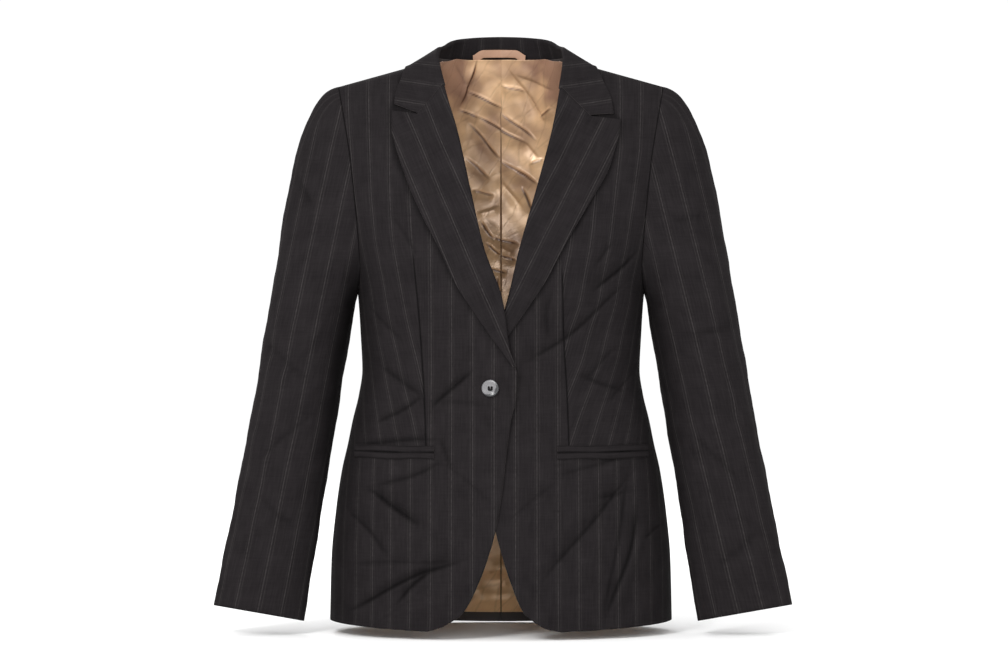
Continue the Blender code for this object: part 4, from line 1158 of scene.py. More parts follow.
    def centred(self, direction: Array) -> Array:
        """Wall directions that lie in the plane of the centre back seam."""
        direction[:, 0, 0] = 0.0
        return unit(direction)

    def leaf_shade(self, cut: FrontCut, x: Array, z: Array) -> Array:
        """Shade on the front beside the outer edge of the turned lapel and collar."""
        return cut.leaf.at("shade", z) * (1.0 - ease((x - cut.leaf.at("x", z)) / self.leaf_shade_reach))

    def side_shade(self, x: Array, z: Array) -> Array:
        """Shade of the flank that hangs beside the arm, from the underarm down."""
        share = x / self.form.half_width(x, z)
        return self.flank_shade * ease((share - 0.78) / 0.22) * ease((self.form.arm_level + 0.10 - z) / 0.10)

    def front(self, cut: FrontCut) -> Grid:
        """Outer face of a front, from its visible edge to the side seam and armhole.

        Args:
            cut: the front.

        Returns:
            Its grid.
        """
        x_in = np.full(self.rows, 0.03)
        for _ in range(12):
            x_in = self.front_edge(cut, self.heights(x_in[:, None], Face.FRONT)[:, 0])
        x_in[-1] = self.form.neck_side
        x_out, half = self.outer_places(Face.FRONT)
        x = self.spread(x_in, x_out, np.maximum(half, x_out), self.front_columns)
        z = self.heights(x, Face.FRONT)
        x = self.to_side_seam(x, z)
        points = np.stack([x, -self.front_depth(cut, x, z, fine=True) - SEAM / 2, z], axis=-1)
        plain = np.stack([x, -self.form.depth(x, z, Face.FRONT), 0.0 * z], axis=-1)
        above = z > self.pocket_height
        # painted shade: dark lines along the creases, shade on the flank beside the arm, and shadow beside the turned
        # leaf's edge
        shades = (folds_painted_shade(cut.creases, x, z), self.side_shade(x, z), self.leaf_shade(cut, x, z))
        return Grid(points, self.settle(grid_normals(points, FRONT)), x[:, :1] + run_lengths(plain, 1), z,
                    take_up=cut.take_up.at("width", z) * above, from_seam=x - cut.dart_line.at("x", z),
                    sewn=ease((cut.dart_line.columns["height"][-1] - z) / 0.02) * above,
                    creased=np.maximum.reduce(shades))

    def back_places(self, hem_rise: float = 0.0, neck_rise: float = 0.0, share: float = 1.0) -> tuple[Array, Array]:
        """Outward places and heights of a back half, from the centre seam outwards.

        Args:
            hem_rise: how far the panel ends above the hem.
            neck_rise: how far it reaches above the neckline.
            share: how far out it reaches.

        Returns:
            Places and heights, rows by columns.
        """
        x_out, half = self.outer_places(Face.BACK, hem_rise)
        x_out = x_out * share
        neck = np.full(self.rows, self.form.neck_side)
        inner = np.linspace(SEAM / 2, self.form.neck_side, self.back_neck_columns + 1)[None, :-1]
        outer = self.spread(neck, x_out, np.maximum(half, x_out), self.back_columns)
        x = np.concatenate([np.repeat(inner, self.rows, axis=0), outer], axis=1)
        return x, self.heights(x, Face.BACK, hem_rise, neck_rise)

    def back(self, side: Side) -> Grid:
        """Outer face of a back half: the form, its folds and a quiet unevenness.

        Args:
            side: the half.

        Returns:
            Its grid.
        """
        x, z = self.back_places()
        x = self.to_side_seam(x, z)
        y = self.form.depth(x, z, Face.BACK) + SEAM / 2
        across = side.value * run_lengths(np.stack([x, y, 0.0 * z], axis=-1), 1)
        rough = folds_height(BACK_FOLDS[side], x, z) + 0.0008 * uneven(x, z, 0.085, 4.0 + side.value)
        points = np.stack([x, y + ease(x / 0.02) * ease(y / 0.06) * rough, z], axis=-1)
        direction = grid_normals(points, BACK)
        neckline = direction[-1, : self.back_neck_columns].copy()
        direction = self.settle(direction)
        direction[-1, : self.back_neck_columns] = neckline
        # painted shade along the creases and on the flank
        creased = np.maximum(0.6 * folds_painted_shade(BACK_FOLDS[side], x, z), self.side_shade(x, z))
        return Grid(points, self.centred(direction), across, z, from_seam=x, creased=creased)

    def lining(self, side: Side) -> Grid:
        """Outer face of a half of the back lining, which lies a gap inside the back and crumples inwards.

        Args:
            side: the half.

        Returns:
            Its grid.
        """
        x, z = self.back_places(self.lining_hem_rise, self.lining_neck_rise, self.lining_share)
        y = self.form.depth(x, z, Face.BACK) + SEAM / 2
        across = side.value * run_lengths(np.stack([x, y, 0.0 * z], axis=-1), 1)
        points, signed = np.stack([x, y, z], axis=-1), side.value * x
        gap = self.lining_gap + self.pad_gap * ease((z + 0.10) / 0.08)
        stays = ease((z - self.form.back_hem) / 0.025) * (0.35 + 0.65 * ease((0.020 - z) / 0.02))
        crinkle = folds_height(LINING_FOLDS, signed, z) + 0.0011 * uneven(signed, z, 0.045, 2.2) - 0.0030
        inwards = WALL + gap - np.minimum(crinkle * stays, 0.0004)
        points = points - self.centred(grid_normals(points, BACK)) * inwards[..., None]
        # painted shade along the lining's creases
        return Grid(points, self.centred(grid_normals(points, BACK)), across, z, from_seam=x, sewn=1.0,
                    creased=folds_painted_shade(LINING_FOLDS, signed, z, self.lining_crease))

    def build(self, wool: dict[Side, Material], satin: Material,
              fronts: dict[Side, Grid], backs: dict[Side, Grid]) -> None:
        """Make fronts, backs and linings, once the sleeves have set the armholes' directions.

        Args:
            wool: finish of each side's cloth.
            satin: finish of the lining.
            fronts: grid of each front.
            backs: grid of each back half.
        """
        fine = Torso(self.form, lower_rows=66, chest_rows=200, shoulder_rows=46, back_neck_columns=88, back_columns=18)
        for side in Side:
            add_cloth("front", fronts[side], side, wool[side])
            add_cloth("back", backs[side], side, wool[side])
            add_cloth("back_lining", fine.lining(side), side, satin, ("back",), SATIN_WALL, Stuff.SATIN)


# ---------------------------------------------------------------- sleeves
def half_turns(angles: Array) -> Array:
    """Angles beyond half a turn taken as negative ones."""
    return np.where(angles > math.pi, angles - 2 * math.pi, angles)


@dataclass
class Sleeves:
    """Two-piece sleeves from the armhole over the head to the cuff."""

    torso: Torso
    top: float = -0.2866
    end: float = -0.6590
    head_rows: int = 40
    tube_rows: int = 66
    stripe_radius: float = 0.048      # turns the angle round the sleeve into a place on the cloth
    mark_radius: float = 0.05         # turns it into the places of the folds
    mark_width: float = 0.0032        # reach of the painted shade along creases
    seam_angle: float = math.radians(125.0)
    row_power: float = 1.25           # rings lie closer together near the armhole
    arrive_pull: float = 0.92         # how hard the head's arcs run into the tube
    head_pull: tuple[float, float, float] = (0.168, 0.0, -0.026)
    under_pull: tuple[float, float, float] = (0.006, 0.0, -0.012)
    wider: dict[Side, float] = field(default_factory=lambda: {Side.RIGHT: 1.0, Side.LEFT: 1.045})
    # strength of the deep shade painted on the face that hangs against the body
    inner_shade: dict[Side, float] = field(default_factory=lambda: {Side.RIGHT: 1.0, Side.LEFT: 0.5})
    sections: Curves = Curves("height x y half_width half_depth", """
        -659 292.5 -36 55.6 29, -615.9 285 -32 54.8 31, -579.3 278.5 -27 54 34, -506 266.4 -15 52.7 40,
        -433 253.6 -4 51.6 46, -359.8 242.2 0 51.3 52, -323.2 236.1 0 51.3 55, -286.6 229.5 0 51.3 58""")

    def section(self, side: Side, height: float, angles: Array,
                step: float = 0.002) -> tuple[Array, Array, Array, Array]:
        """Ellipse square to the sleeve's centre line; angle 0 is the outer side.

        Args:
            side: the sleeve.
            height: height of the section's centre.
            angles: angles of its points.
            step: distance over which the centre line's direction is measured.

        Returns:
            The ring of points, its centre, its own sideways direction and the way down.
        """
        here, above, below = (np.array([self.sections.at("x", z), self.sections.at("y", z), z])
                              for z in (height, *np.clip([height + step, height - step], self.end, self.top)))
        run = unit(below - above)
        across = unit(np.array([1.0, 0.0, 0.0]) - run * run[0])
        forward = np.cross(across, run)
        forward = forward * -np.sign(forward[1])
        width, deep = self.sections.at("half_width", height), self.sections.at("half_depth", height)
        centre = here + across * (self.wider[side] - 1.0) * width
        ring = (centre + np.cos(angles)[:, None] * across * width * self.wider[side]
                + np.sin(angles)[:, None] * forward * deep)
        return ring, centre, across, run

    def rings(self, side: Side, loop: Array, angles: Array) -> Array:
        """Rings from the armhole: cubic arcs over the sleeve head, then ellipses to the cuff.

        Args:
            side: the sleeve.
            loop: points of the armhole.
            angles: the angle of each point.

        Returns:
            Points, rings by angles.
        """
        target, _, _, run = self.section(side, self.top, angles)
        topness = (((1.0 + np.cos(angles)) / 2.0) ** 1.3)[:, None]
        leave = np.array(self.head_pull) * topness + np.array(self.under_pull) * (1.0 - topness)
        arrive = run * np.linalg.norm(target - loop, axis=1, keepdims=True) * self.arrive_pull
        t = ((np.arange(self.head_rows) / self.head_rows) ** self.row_power)[:, None, None]
        ellipses = [self.section(side, z, angles)[0] for z in np.linspace(self.top, self.end, self.tube_rows)]
        return np.concatenate([hermite(t, loop, leave, target, arrive), np.array(ellipses)])

    def creased(self, side: Side, rings: Array, normals: Array, angles: Array) -> Array:
        """Rings with their folds, each a bell round the sleeve and along it.

        Args:
            side: the sleeve.
            rings: points without folds.
            normals: the way out at each point.
            angles: angle of each column.

        Returns:
            The points moved along their normals.
        """
        z, row = rings[..., 2], np.arange(len(rings))
        turn = half_turns(angles)[None, :] * self.mark_radius + 0.0 * z
        rough = 0.0012 * uneven(turn, z, 0.09, 7.0 + side.value) + 0.0004 * uneven(turn, z, 0.026, 9.0 + side.value)
        calm = ease(row / 9.0) * ease(row[::-1] / 6.0)
        beside = 0.35 + 0.65 * ease(np.abs(np.abs(half_turns(angles)) - self.seam_angle) / 0.25)
        lift = (folds_height(SLEEVE_FOLDS[side], turn, z) + rough) * calm[:, None] * beside[None, :]
        return rings + normals * lift[..., None]

    def marks(self, side: Side, rings: Array, angles: Array) -> Array:
        """Painted shade: dark lines painted along the creases, and the deep shade painted on the face that hangs
        against the body.

        Args:
            side: the sleeve.
            rings: the sleeve's points.
            angles: angle of each column.

        Returns:
            A value from 0 to 1 for each point.
        """
        z = rings[..., 2]
        turn = half_turns(angles)[None, :] * self.mark_radius + 0.0 * z
        inner = ease((-np.cos(angles) - 0.50) / 0.46)[None, :]
        level = ease((-0.16 - z) / 0.06) * ease((z + 0.60) / 0.30)
        lines = 0.6 * folds_painted_shade(SLEEVE_FOLDS[side], turn, z, self.mark_width)
        return np.maximum(lines, self.inner_shade[side] * inner * level)

    def across(self, side: Side, rings: Array, angles: Array) -> Array:
        """Place across the cloth: the angle round the sleeve, straightened over the head.

        Over the front and back of the head it is the angle that the sideways distance from the
        drawn-out centre line would have on the tube, so the stripes run on straight.

        Args:
            side: the sleeve.
            rings: the sleeve's points.
            angles: angle of each column.

        Returns:
            A place in metres for each point.
        """
        _, centre, sideways, _ = self.section(side, self.top, angles)
        width = self.sections.at("half_width", self.top) * self.wider[side]
        straight = np.arccos(np.clip((rings - centre) @ sideways / width, -1.0, 1.0))
        folded = np.abs(half_turns(angles))[None, :]
        blend = ease((folded - 0.12) / 0.30) * (np.arange(len(rings)) < self.head_rows)[:, None]
        theta = folded * (1 - blend) + straight * blend
        return np.where(angles > math.pi, -theta, theta) * self.stripe_radius

    def grids(self, side: Side, front: Grid, back: Grid) -> tuple[Grid, Grid]:
        """Top and under sleeve; the front and the back take the armhole's shared directions.

        Args:
            side: the sleeve.
            front: front on that side.
            back: back on that side.

        Returns:
            Grids of the top sleeve and of the under sleeve.
        """
        first = self.torso.lower_rows - 1
        down, up = front.points[first:, -1][::-1], back.points[first:, -1]
        loop = np.concatenate([down, up[1:]])
        inland = np.concatenate([front.points[first:, -2][::-1], back.points[first:, -2][1:]])
        inland[len(down) - 1] = front.points[first - 1, -1]
        share_down, share_up = run_lengths(down, 0), run_lengths(up, 0)
        angles = np.concatenate([share_down / share_down[-1], 1.0 + share_up[1:] / share_up[-1]]) * math.pi
        body = np.concatenate([front.direction[first:, -1][::-1], back.direction[first:, -1][1:]])
        rings = self.rings(side, loop, angles)
        normals = grid_normals(rings, unit(rings - rings.mean(axis=1, keepdims=True)))
        under = ((1.0 - np.cos(angles)) / 2.0)[:, None]
        shared = unit(body + 0.5 * normals[1] - 0.8 * UP * under**3)
        shared[0] = shared[-1] = unit(shared[0] * np.array([1.0, 0.0, 1.0]))
        away = agree(unit(np.cross(unit(np.gradient(loop, axis=0)), shared)), loop - inland)
        rings[0], normals[0] = loop + away * SEAM, shared
        rings = self.creased(side, rings, normals, angles)
        normals = grid_normals(rings, normals)
        normals[:, 0] = normals[:, -1] = unit(normals[:, 0] + normals[:, -1])
        normals[0] = shared
        whole = Grid(rings, normals, self.across(side, rings, angles), rings[..., 2],
                     from_seam=run_lengths(rings, 0), sewn=1.0, creased=self.marks(side, rings, angles))
        around = whole.across + np.where(angles > math.pi, 2 * math.pi, 0.0)[None, :] * self.stripe_radius
        split, split_back = (int(np.argmin(np.abs(angles - seam)))
                             for seam in (self.seam_angle, 2 * math.pi - self.seam_angle))
        gap = unit(np.gradient(rings, axis=1)) * SEAM / 2
        top = whole.columns(np.r_[split_back:len(angles), 1:split + 1])
        low = replace(whole, across=around).columns(np.r_[split:split_back + 1])
        for grid, start, stop in ((top, split_back, split), (low, split, split_back)):
            grid.points[:, 0] += gap[:, start]
            grid.points[:, -1] -= gap[:, stop]
        front.direction[first:, -1] = shared[: len(down)][::-1]
        back.direction[first:, -1] = shared[len(down) - 1:]
        return top, low

    def build(self, wool: dict[Side, Material], fronts: dict[Side, Grid], backs: dict[Side, Grid]) -> None:
        """Make the four sleeve pieces.

        Args:
            wool: finish of each sleeve.
            fronts: grid of each front.
            backs: grid of each back half.
        """
        for side in Side:
            for part, grid in zip(("top_sleeve", "under_sleeve"), self.grids(side, fronts[side], backs[side])):
                add_cloth(part, grid, side, wool[side])


# ---------------------------------------------------------------- lapels and collar
@dataclass(frozen=True)
class LapelCut:
    """What is particular to one lapel."""

    notch_drop: float                 # how far the gorge hangs below a straight line at the notch
    point: tuple[float, float]        # outward place and height of the collar's point
    grain: tuple[float, float]        # slant and rise of the stripes
    edge: Curves


LAPELS = {
    Side.RIGHT: LapelCut(0.0200, (0.1271, -0.0473), (0.3936, 0.9193), Curves("height x", """
            -368 -18.5, -336.2 4, -303 26.8, -258 55.6, -222.7 71.7, -184.6 91.6, -139.5 111.5, -92.4 127,
            -74.1 130.9, -54.5 130.7""")),
    Side.LEFT: LapelCut(0.0150, (0.1340, -0.0590), (0.4514, 0.8924), Curves("height x", """
            -385 -27, -323 9.5, -298.4 26.7, -258.1 53.3, -219 74, -184.6 94, -157.6 110.1, -125 128.4,
            -101.2 135.9, -80.8 141.6, -65.3 143.4"""))}


@dataclass
class Collar:
    """Peak lapels and the collar: a rolled fold along the edge and a leaf that lies on the front."""

    torso: Torso
    notch_share: float = 0.486
    fold_steps: int = 10
    leaf_steps: int = 30
    stand_steps: int = 6
    lapel_rows: int = 110
    lapel_starts: float = 0.0075      # height above the break
    edge_starts: float = 0.004        # height above that, and least width of the lapel
    flat_lift: float = 0.0013
    leaf_lift: float = 0.0020
    stand_start: float = 0.0020
    gorge_gap: float = 0.0008
    front_phase: float = 0.0900
    shoulder_slant: float = 0.18      # slope of the stripes on the collar's front ends
    line: Curves = Curves("share rise lean edge_x edge_y", """
        0 7 2 127.1 -70, 0.2 8.5 3 122.5 -44, 0.36 11 4.5 117 -18, 0.48 13.5 5.5 112 6, 0.6 21.5 6 98 28.5,
        0.72 25.7 5.3 77 45, 0.86 27.8 3.7 46 75, 1 28.6 3 0 86""")

    @cached_property
    def shares(self) -> Array:
        """Shares across the leaf, with one exactly at the notch."""
        inner = np.linspace(0.0, self.notch_share, self.leaf_steps // 2 + 1)
        return np.concatenate([inner, np.linspace(self.notch_share, 1.0, self.leaf_steps // 2 + 1)[1:]])

    def lapel(self, cut: FrontCut, front: Grid) -> Grid:
        """Half circle round the front's cut edge, then rows that cross to the lapel's outer edge.

        Args:
            cut: the front that it belongs to.
            front: that front's grid.

        Returns:
            The lapel's grid, from the break to the gorge.
        """
        torso, style, across = self.torso, LAPELS[cut.side], self.shares
        share = np.linspace(0.0, 1.0, self.lapel_rows)
        start = cut.break_height + self.lapel_starts
        roll_z = start + (front.points[torso.gorge, 0, 2] - 0.0009 - start) * share
        root_x = torso.front_edge(cut, roll_z)
        root, normal = torso.front_point(cut, root_x, roll_z)
        edge_z = start + self.edge_starts
        edge_z = edge_z + (style.edge.columns["height"][-1] - edge_z) * share
        edge_x = np.maximum(style.edge.at("x", edge_z), root_x + self.edge_starts)
        radius = torso.roll_radius(cut, roll_z)
        dip = style.notch_drop * np.minimum(across / self.notch_share, (1 - across) / (1 - self.notch_share))
        x = root_x[:, None] - SEAM + (edge_x - root_x)[:, None] * across
        z = roll_z[:, None] + (edge_z - roll_z)[:, None] * across - dip * ease((share - 0.55) / 0.45)[:, None]
        flat = WALL + self.flat_lift
        lift = flat + (2.0 * radius[:, None] - WALL - flat) * (1.0 - ease(across / 0.55))
        waves = 1.0 + uneven(x, z, 0.06, cut.side.value)
        lift = lift + 0.0006 * ease(across / 0.3) * ease((1 - across) / 0.2) * waves
        face, _ = torso.front_point(cut, x, z, lift)
        away = agree(unit(np.cross(unit(np.gradient(root, axis=0)), normal)), face[:, 3] - face[:, 0])
        centre = root - away * SEAM + normal * (radius - WALL)[:, None]
        face[:, 0] = centre + normal * radius[:, None]
        turn = np.linspace(math.pi, 0.0, self.fold_steps + 1)[None, :-1, None]
        radial = np.cos(turn) * normal[:, None] - np.sin(turn) * away[:, None]
        points = np.concatenate([centre[:, None] + radial * radius[:, None, None], face], axis=1)
        outward = np.concatenate([radial, np.repeat(normal[:, None], face.shape[1], axis=1)], axis=1)
        normals = grid_normals(points, outward)
        normals[:, : self.fold_steps] = radial
        slant, rise = style.grain
        round_fold = run_lengths(points[:, : self.fold_steps + 1], 1)[:, ::-1]
        flat_x = np.concatenate([x[:, :1] - round_fold, x[:, 1:]], axis=1)
        flat_z = np.concatenate([np.repeat(z[:, :1], self.fold_steps + 1, axis=1), z[:, 1:]], axis=1)
        return Grid(points, normals, rise * flat_x - slant * flat_z, slant * flat_x + rise * flat_z)

    def outer_edge(self, cut: FrontCut, share: Array) -> Array:
        """Outer edge of half the leaf, from the collar's point to the centre back.

        Args:
            cut: the front that the collar's point lies on.
            share: share of the way along the neck for each station.

        Returns:
            A point for each station.
        """
        lift, (point_x, point_z) = WALL + self.flat_lift, LAPELS[cut.side].point
        edge_x, edge_y = self.line.at("edge_x", share), self.line.at("edge_y", share)
        edge_x = edge_x + (point_x - edge_x[0]) * (1 - ease(share / 0.4))
        edge = np.stack([edge_x, edge_y, self.torso.form.height_over(edge_x, edge_y) + lift], axis=-1)
        tip = self.torso.front_point(cut, np.array([point_x]), np.array([point_z]), lift)[0][0]
        pull = (1 - ease(share / 0.3))[:, None]
        return edge * (1 - pull) + (tip + (edge - edge[0])) * pull

    def half(self, cut: FrontCut, front: Grid, back: Grid, lapel: Grid) -> tuple[Array, Array]:
        """Outer face of half the collar, from the gorge to the centre back.

        The stand rises from the neck seam, the fold is a half circle square to the neck line,
        and the leaf crosses to its outer edge over the shoulder.

        Args:
            cut: the front whose gorge it starts at.
            front: that front.
            back: the back half on the same side.
            lapel: the lapel on the same side.

        Returns:
            Points and wall directions, stations by columns.
        """
        torso, gorge, radius = self.torso, self.torso.gorge, self.torso.fold_radius
        neck = slice(0, torso.back_neck_columns + 1)
        seam_line = np.concatenate([front.points[gorge:, 0], back.points[-1, neck][::-1][1:]])
        seam_dir = np.concatenate([front.direction[gorge:, 0], back.direction[-1, neck][::-1][1:]])
        share = run_lengths(seam_line, 0)
        share = share / share[-1]
        blend = ease((share - share[len(front.points) - gorge - 1] + 0.12) / 0.2)[:, None]
        inward = unit(seam_line * np.array([-1.0, -1.0, 0.0]) + 0.004 * BACK)
        tangent = unit(np.gradient(seam_line, axis=0))
        away = agree(unit(np.cross(tangent, seam_dir)), inward)
        away = unit(away * (1 - blend) + UP * blend)
        seam = seam_line - seam_dir * WALL + away * SEAM
        lying = seam_line + seam_dir * (radius - WALL + SEAM) + away * (radius + self.stand_start)
        rise, lean = (self.line.at(name, share)[:, None] for name in ("rise", "lean"))
        mix = ease(share / 0.34)[:, None]
        top = lying * (1 - mix) + (seam_line + UP * rise + inward * lean) * mix
        edge = self.outer_edge(cut, share)
        path = unit(tangent * (1 - mix) + unit(np.gradient(top, axis=0)) * mix)
        up = square_to(top - (seam + edge) / 2, path)
        up = square_to(away * (1 - mix) + up * mix, path)
        out = agree(np.cross(path, up), edge - seam)
        turn = np.linspace(math.pi, 0.0, self.fold_steps + 1)[None, :, None]
        radial = np.sin(turn) * up[:, None] + np.cos(turn) * out[:, None]
        arc = (top - up * radius)[:, None] + radial * radius
        climb = np.linspace(0.0, 1.0, self.stand_steps + 1)[None, :-1, None]
        stand = seam[:, None] + (arc[:, :1] - seam[:, None]) * climb
        v = self.shares[1:, None]
        leaf = arc[:, -1:] + (edge - arc[:, -1])[:, None] * v[None]
        rim = lapel.points[-1, self.fold_steps:] + UP * self.gorge_gap
        notch = rim[self.leaf_steps // 2]
        beyond = np.clip((v - self.notch_share) / (1 - self.notch_share), 0.0, 1.0)
        corner = notch + (edge[0] - notch) * beyond
        corner = torso.front_point(cut, corner[:, 0], corner[:, 2], WALL + self.flat_lift)[0]
        start = np.where(v <= self.notch_share + 1e-9, rim[1:], corner)
        leaf = leaf + (start - leaf[0])[None] * (1 - ease(share / 0.42))[:, None, None]
        leaf = torso.form.over(leaf, (WALL + self.leaf_lift * ease(share / 0.2 + 0.25))[:, None])
        points = np.concatenate([stand, arc, leaf], axis=1)
        normals = grid_normals(points, np.concatenate([np.repeat(-seam_dir[:, None], self.stand_steps, 1), radial,
                                                       np.repeat(out[:, None], len(v), 1)], axis=1))
        normals[:, 0] = -seam_dir
        normals[:, self.stand_steps: self.stand_steps + self.fold_steps + 1] = radial
        return points, normals

    def join(self, halves: list[tuple[Array, Array]]) -> Grid:
        """The whole collar: both halves, meeting in one station at the centre back.

        Args:
            halves: points and wall directions of the right and the left half.

        Returns:
            Its grid, with stripes that run down the back and level with the gorge in front.
        """
        (right, right_dir), (left, left_dir) = halves
        in_plane = BACK + UP
        middle, middle_dir = (right[-1:] + left[-1:]) / 2 * in_plane, unit((right_dir[-1:] + left_dir[-1:]) * in_plane)
        points = np.concatenate([right[:-1], middle, left[::-1][1:]])
        normals = np.concatenate([right_dir[:-1], middle_dir, left_dir[::-1][1:]])
        walked = run_lengths(points, 0)
        walked = walked - walked[len(right) - 1]
        station = walked[:, self.stand_steps + 2: self.stand_steps + 12].mean(axis=1)[:, None] + 0.0 * walked
        level = points[..., 2] - self.shoulder_slant * np.abs(points[..., 0])
        level = level / math.hypot(1.0, self.shoulder_slant)
        front = 1.0 - ease((points[..., 1] + 0.015) / 0.050)
        across = station * (1.0 - front) + np.sign(station) * (self.front_phase - level) * front
        return Grid(points, normals, across, run_lengths(points, 1))

    def build(self, wool: Material, lapel_wool: dict[Side, Material],
              fronts: dict[Side, Grid], backs: dict[Side, Grid]) -> None:
        """Make both lapels and the collar.

        Args:
            wool: finish of the collar.
            lapel_wool: finish of each lapel.
            fronts: grid of each front.
            backs: grid of each back half.
        """
        halves = []
        for cut in (RIGHT_CUT, LEFT_CUT):
            side = cut.side
            lapel = self.lapel(cut, fronts[side])
            add_cloth("lapel", lapel, side, lapel_wool[side], ("front",))
            halves.append(tuple(map(side.place, self.half(cut, fronts[side], backs[side], lapel))))
        add_cloth("collar", self.join(halves), None, wool, ("right_back", "left_back"))


# ---------------------------------------------------------------- pockets, loop, button
@dataclass
class Pockets:
    """Two lips of cloth round each pocket mouth."""

    torso: Torso
    columns: int = 90
    rows: int = 9
    height: float = 0.0072
    wall: float = 0.0012
    lift: float = 0.0004
    crown: float = 0.0004
    wander: float = 0.0004            # how far the mouth strays from a level line
    stripe: float = 0.0127            # turns the stripes to half a repeat beside the front's

    def lip(self, cut: FrontCut, way: float) -> Grid:
        """A strip of the front moved out, rounded over its width, with painted shade along its edges.

        Args:
            cut: the front.
            way: 1 for the upper lip, -1 for the lower one.

        Returns:
            Its grid.
        """
        level = self.torso.pocket_height
        half = self.torso.form.half_width(np.array(0.0), np.array(level))
        start, stop = (math.asin(place / half) for place in cut.pocket)
        share = np.linspace(0.0, 1.0, self.rows)[None, :]
        x = (half * np.sin(np.linspace(start, stop, self.columns)))[:, None] + 0.0 * share
        z = level + way * (SEAM + self.height * share) + self.wander * np.sin(x * 90.0 + way)
        crown = self.crown * np.sin(math.pi * (0.06 + 0.88 * share)) ** 0.6
        points, normal = self.torso.front_point(cut, x, z, self.lift + self.wall + crown)
        # painted shade along the mouth and the far edge of each lip
        shade = np.maximum(ease((0.22 - share) / 0.22), 0.7 * ease((share - 0.80) / 0.20))
        return Grid(points, normal, self.stripe + share * self.height + cut.phase, x, creased=shade)

    def build(self, wool: dict[Side, Material]) -> None:
        """Make the four lips.

        Args:
            wool: finish of each side's cloth.
        """
        for cut in (RIGHT_CUT, LEFT_CUT):
            for word, way in (("upper", 1.0), ("lower", -1.0)):
                add_cloth(f"pocket_{word}_jet", self.lip(cut, way), cut.side, wool[cut.side],
                          ("front",), self.wall)


@dataclass
class HangerLoop:
    """Flat satin strip laid over the back neck seam, open along its lower edge."""

    torso: Torso
    centre: float = -0.0022
    half_span: float = 0.0320
    foot: float = 0.0005
    rise: float = 0.0060
    peak: float = 0.0008
    width: float = 0.0094
    inside: float = 0.0052            # how far in front of the back's inner face it lies
    bulge: float = 0.0003

    def build(self, satin: Material) -> None:
        """A strip that climbs smoothly from each foot, then rises a little to its middle.

        Args:
            satin: its finish.
        """
        form, share = self.torso.form, np.linspace(-1.0, 1.0, 81)
        x = self.centre + self.half_span * share
        arch = self.rise * ease((1.0 - np.abs(share)) / 0.40) + self.peak * (1.0 - np.abs(share))
        z = form.back_neck_height(x) + self.foot + arch
        tangent = unit(np.stack([np.gradient(x), 0.6 * np.gradient(z)], axis=-1))
        step = np.linspace(-0.5, 0.5, 11)[None, :] * self.width
        px, pz = x[:, None] - tangent[:, 1:] * step, z[:, None] + tangent[:, :1] * step
        py = form.depth(px, form.back_neck_height(px), Face.BACK) - WALL - self.inside
        points = np.stack([px, py - self.bulge * np.cos(math.pi * step / self.width), pz], axis=-1)
        grid = Grid(points, grid_normals(points, FRONT), step, run_lengths(points, 0))
        add_cloth("hanger_loop", grid, None, satin, thickness=SATIN_WALL, stuff=Stuff.SATIN)


def tube(path: Array, radius: float) -> tuple[Array, Array]:
    """Round thread along a path: rings of eight points square to it, closed and narrower at each end.

    Args:
        path: points of the path.
        radius: radius of the thread.

    Returns:
        Vertices and quad faces.
    """
    tangent = unit(np.gradient(path, axis=0))
    guide = unit(np.cross(tangent, np.array([0.31, 0.17, 0.94])))
    third = np.cross(tangent, guide)
    turn = np.linspace(0.0, 2 * math.pi, 8, endpoint=False)[None, :, None]
    taper = np.sqrt(np.clip(1.0 - np.linspace(-1.0, 1.0, len(path)) ** 8, 0.02, 1.0))[:, None, None]
    ring = path[:, None] + (np.cos(turn) * guide[:, None] + np.sin(turn) * third[:, None]) * radius * taper
    index = np.arange(len(path) * 8).reshape(len(path), 8)
    after = np.roll(index, -1, axis=1)
    faces = np.stack([index[:-1], after[:-1], after[1:], index[1:]], -1).reshape(-1, 4)
    ends = [index[0, [[3, 2, 1, 0], [0, 7, 4, 3], [7, 6, 5, 4]]], index[-1, [[0, 1, 2, 3], [0, 3, 4, 7], [4, 5, 6, 7]]]]
    return ring.reshape(-1, 3), np.concatenate([faces, *ends])[:, ::-1]


@dataclass
class Closure:
    """The button and the thread that holds it."""

    torso: Torso
    outward: float = 0.0124
    height: float = -0.3863
    lift: float = 0.0017              # from the front's face to the button's back
    hole_place: float = 0.0017
    thread_radius: float = 0.00070

    def build(self, polyester: Material, thread: Material) -> None:
        """Dress the CAD button, and lay double thread over it from hole to hole on three sides.

        Args:
            polyester: finish of the button.
            thread: finish of the thread.
        """
        for material_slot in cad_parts["button"].material_slots:
            material_slot.material = polyester
        point, normal = self.torso.front_point(RIGHT_CUT, np.array([self.outward]), np.array([self.height]),
                                               self.lift + 2 * SEAM)
        centre, out = (RIGHT_CUT.side.place(vectors)[0] for vectors in (point, normal))
        across = unit(np.cross(UP, out))
        upright = np.cross(out, across)
        vertices, faces, count = [], [], 0
        place = np.linspace(-1.0, 1.0, 17)[:, None]
        arch = 0.00080 + 0.00060 * (1.0 - place**4) - 0.0022 * np.clip(np.abs(place) - 0.85, 0, 1) / 0.15
        for way, beside, sign in ((upright, across, -1.0), (upright, across, 1.0), (across, upright, -1.0)):
            for strand in (-0.5, 0.5):
                path = (centre + beside * (sign * self.hole_place + strand * self.thread_radius * 1.6)
                        + way * self.hole_place * 1.20 * place + out * arch)
                ring, quads = tube(path, self.thread_radius)
                vertices.append(ring)
                faces.append(quads + count)
                count += len(ring)
        mesh = bpy.data.meshes.new("button_thread")
        mesh.from_pydata(np.concatenate(vertices).tolist(), [], np.concatenate(faces).tolist())
        mesh.shade_smooth()
        add_piece(mesh, thread, "button")


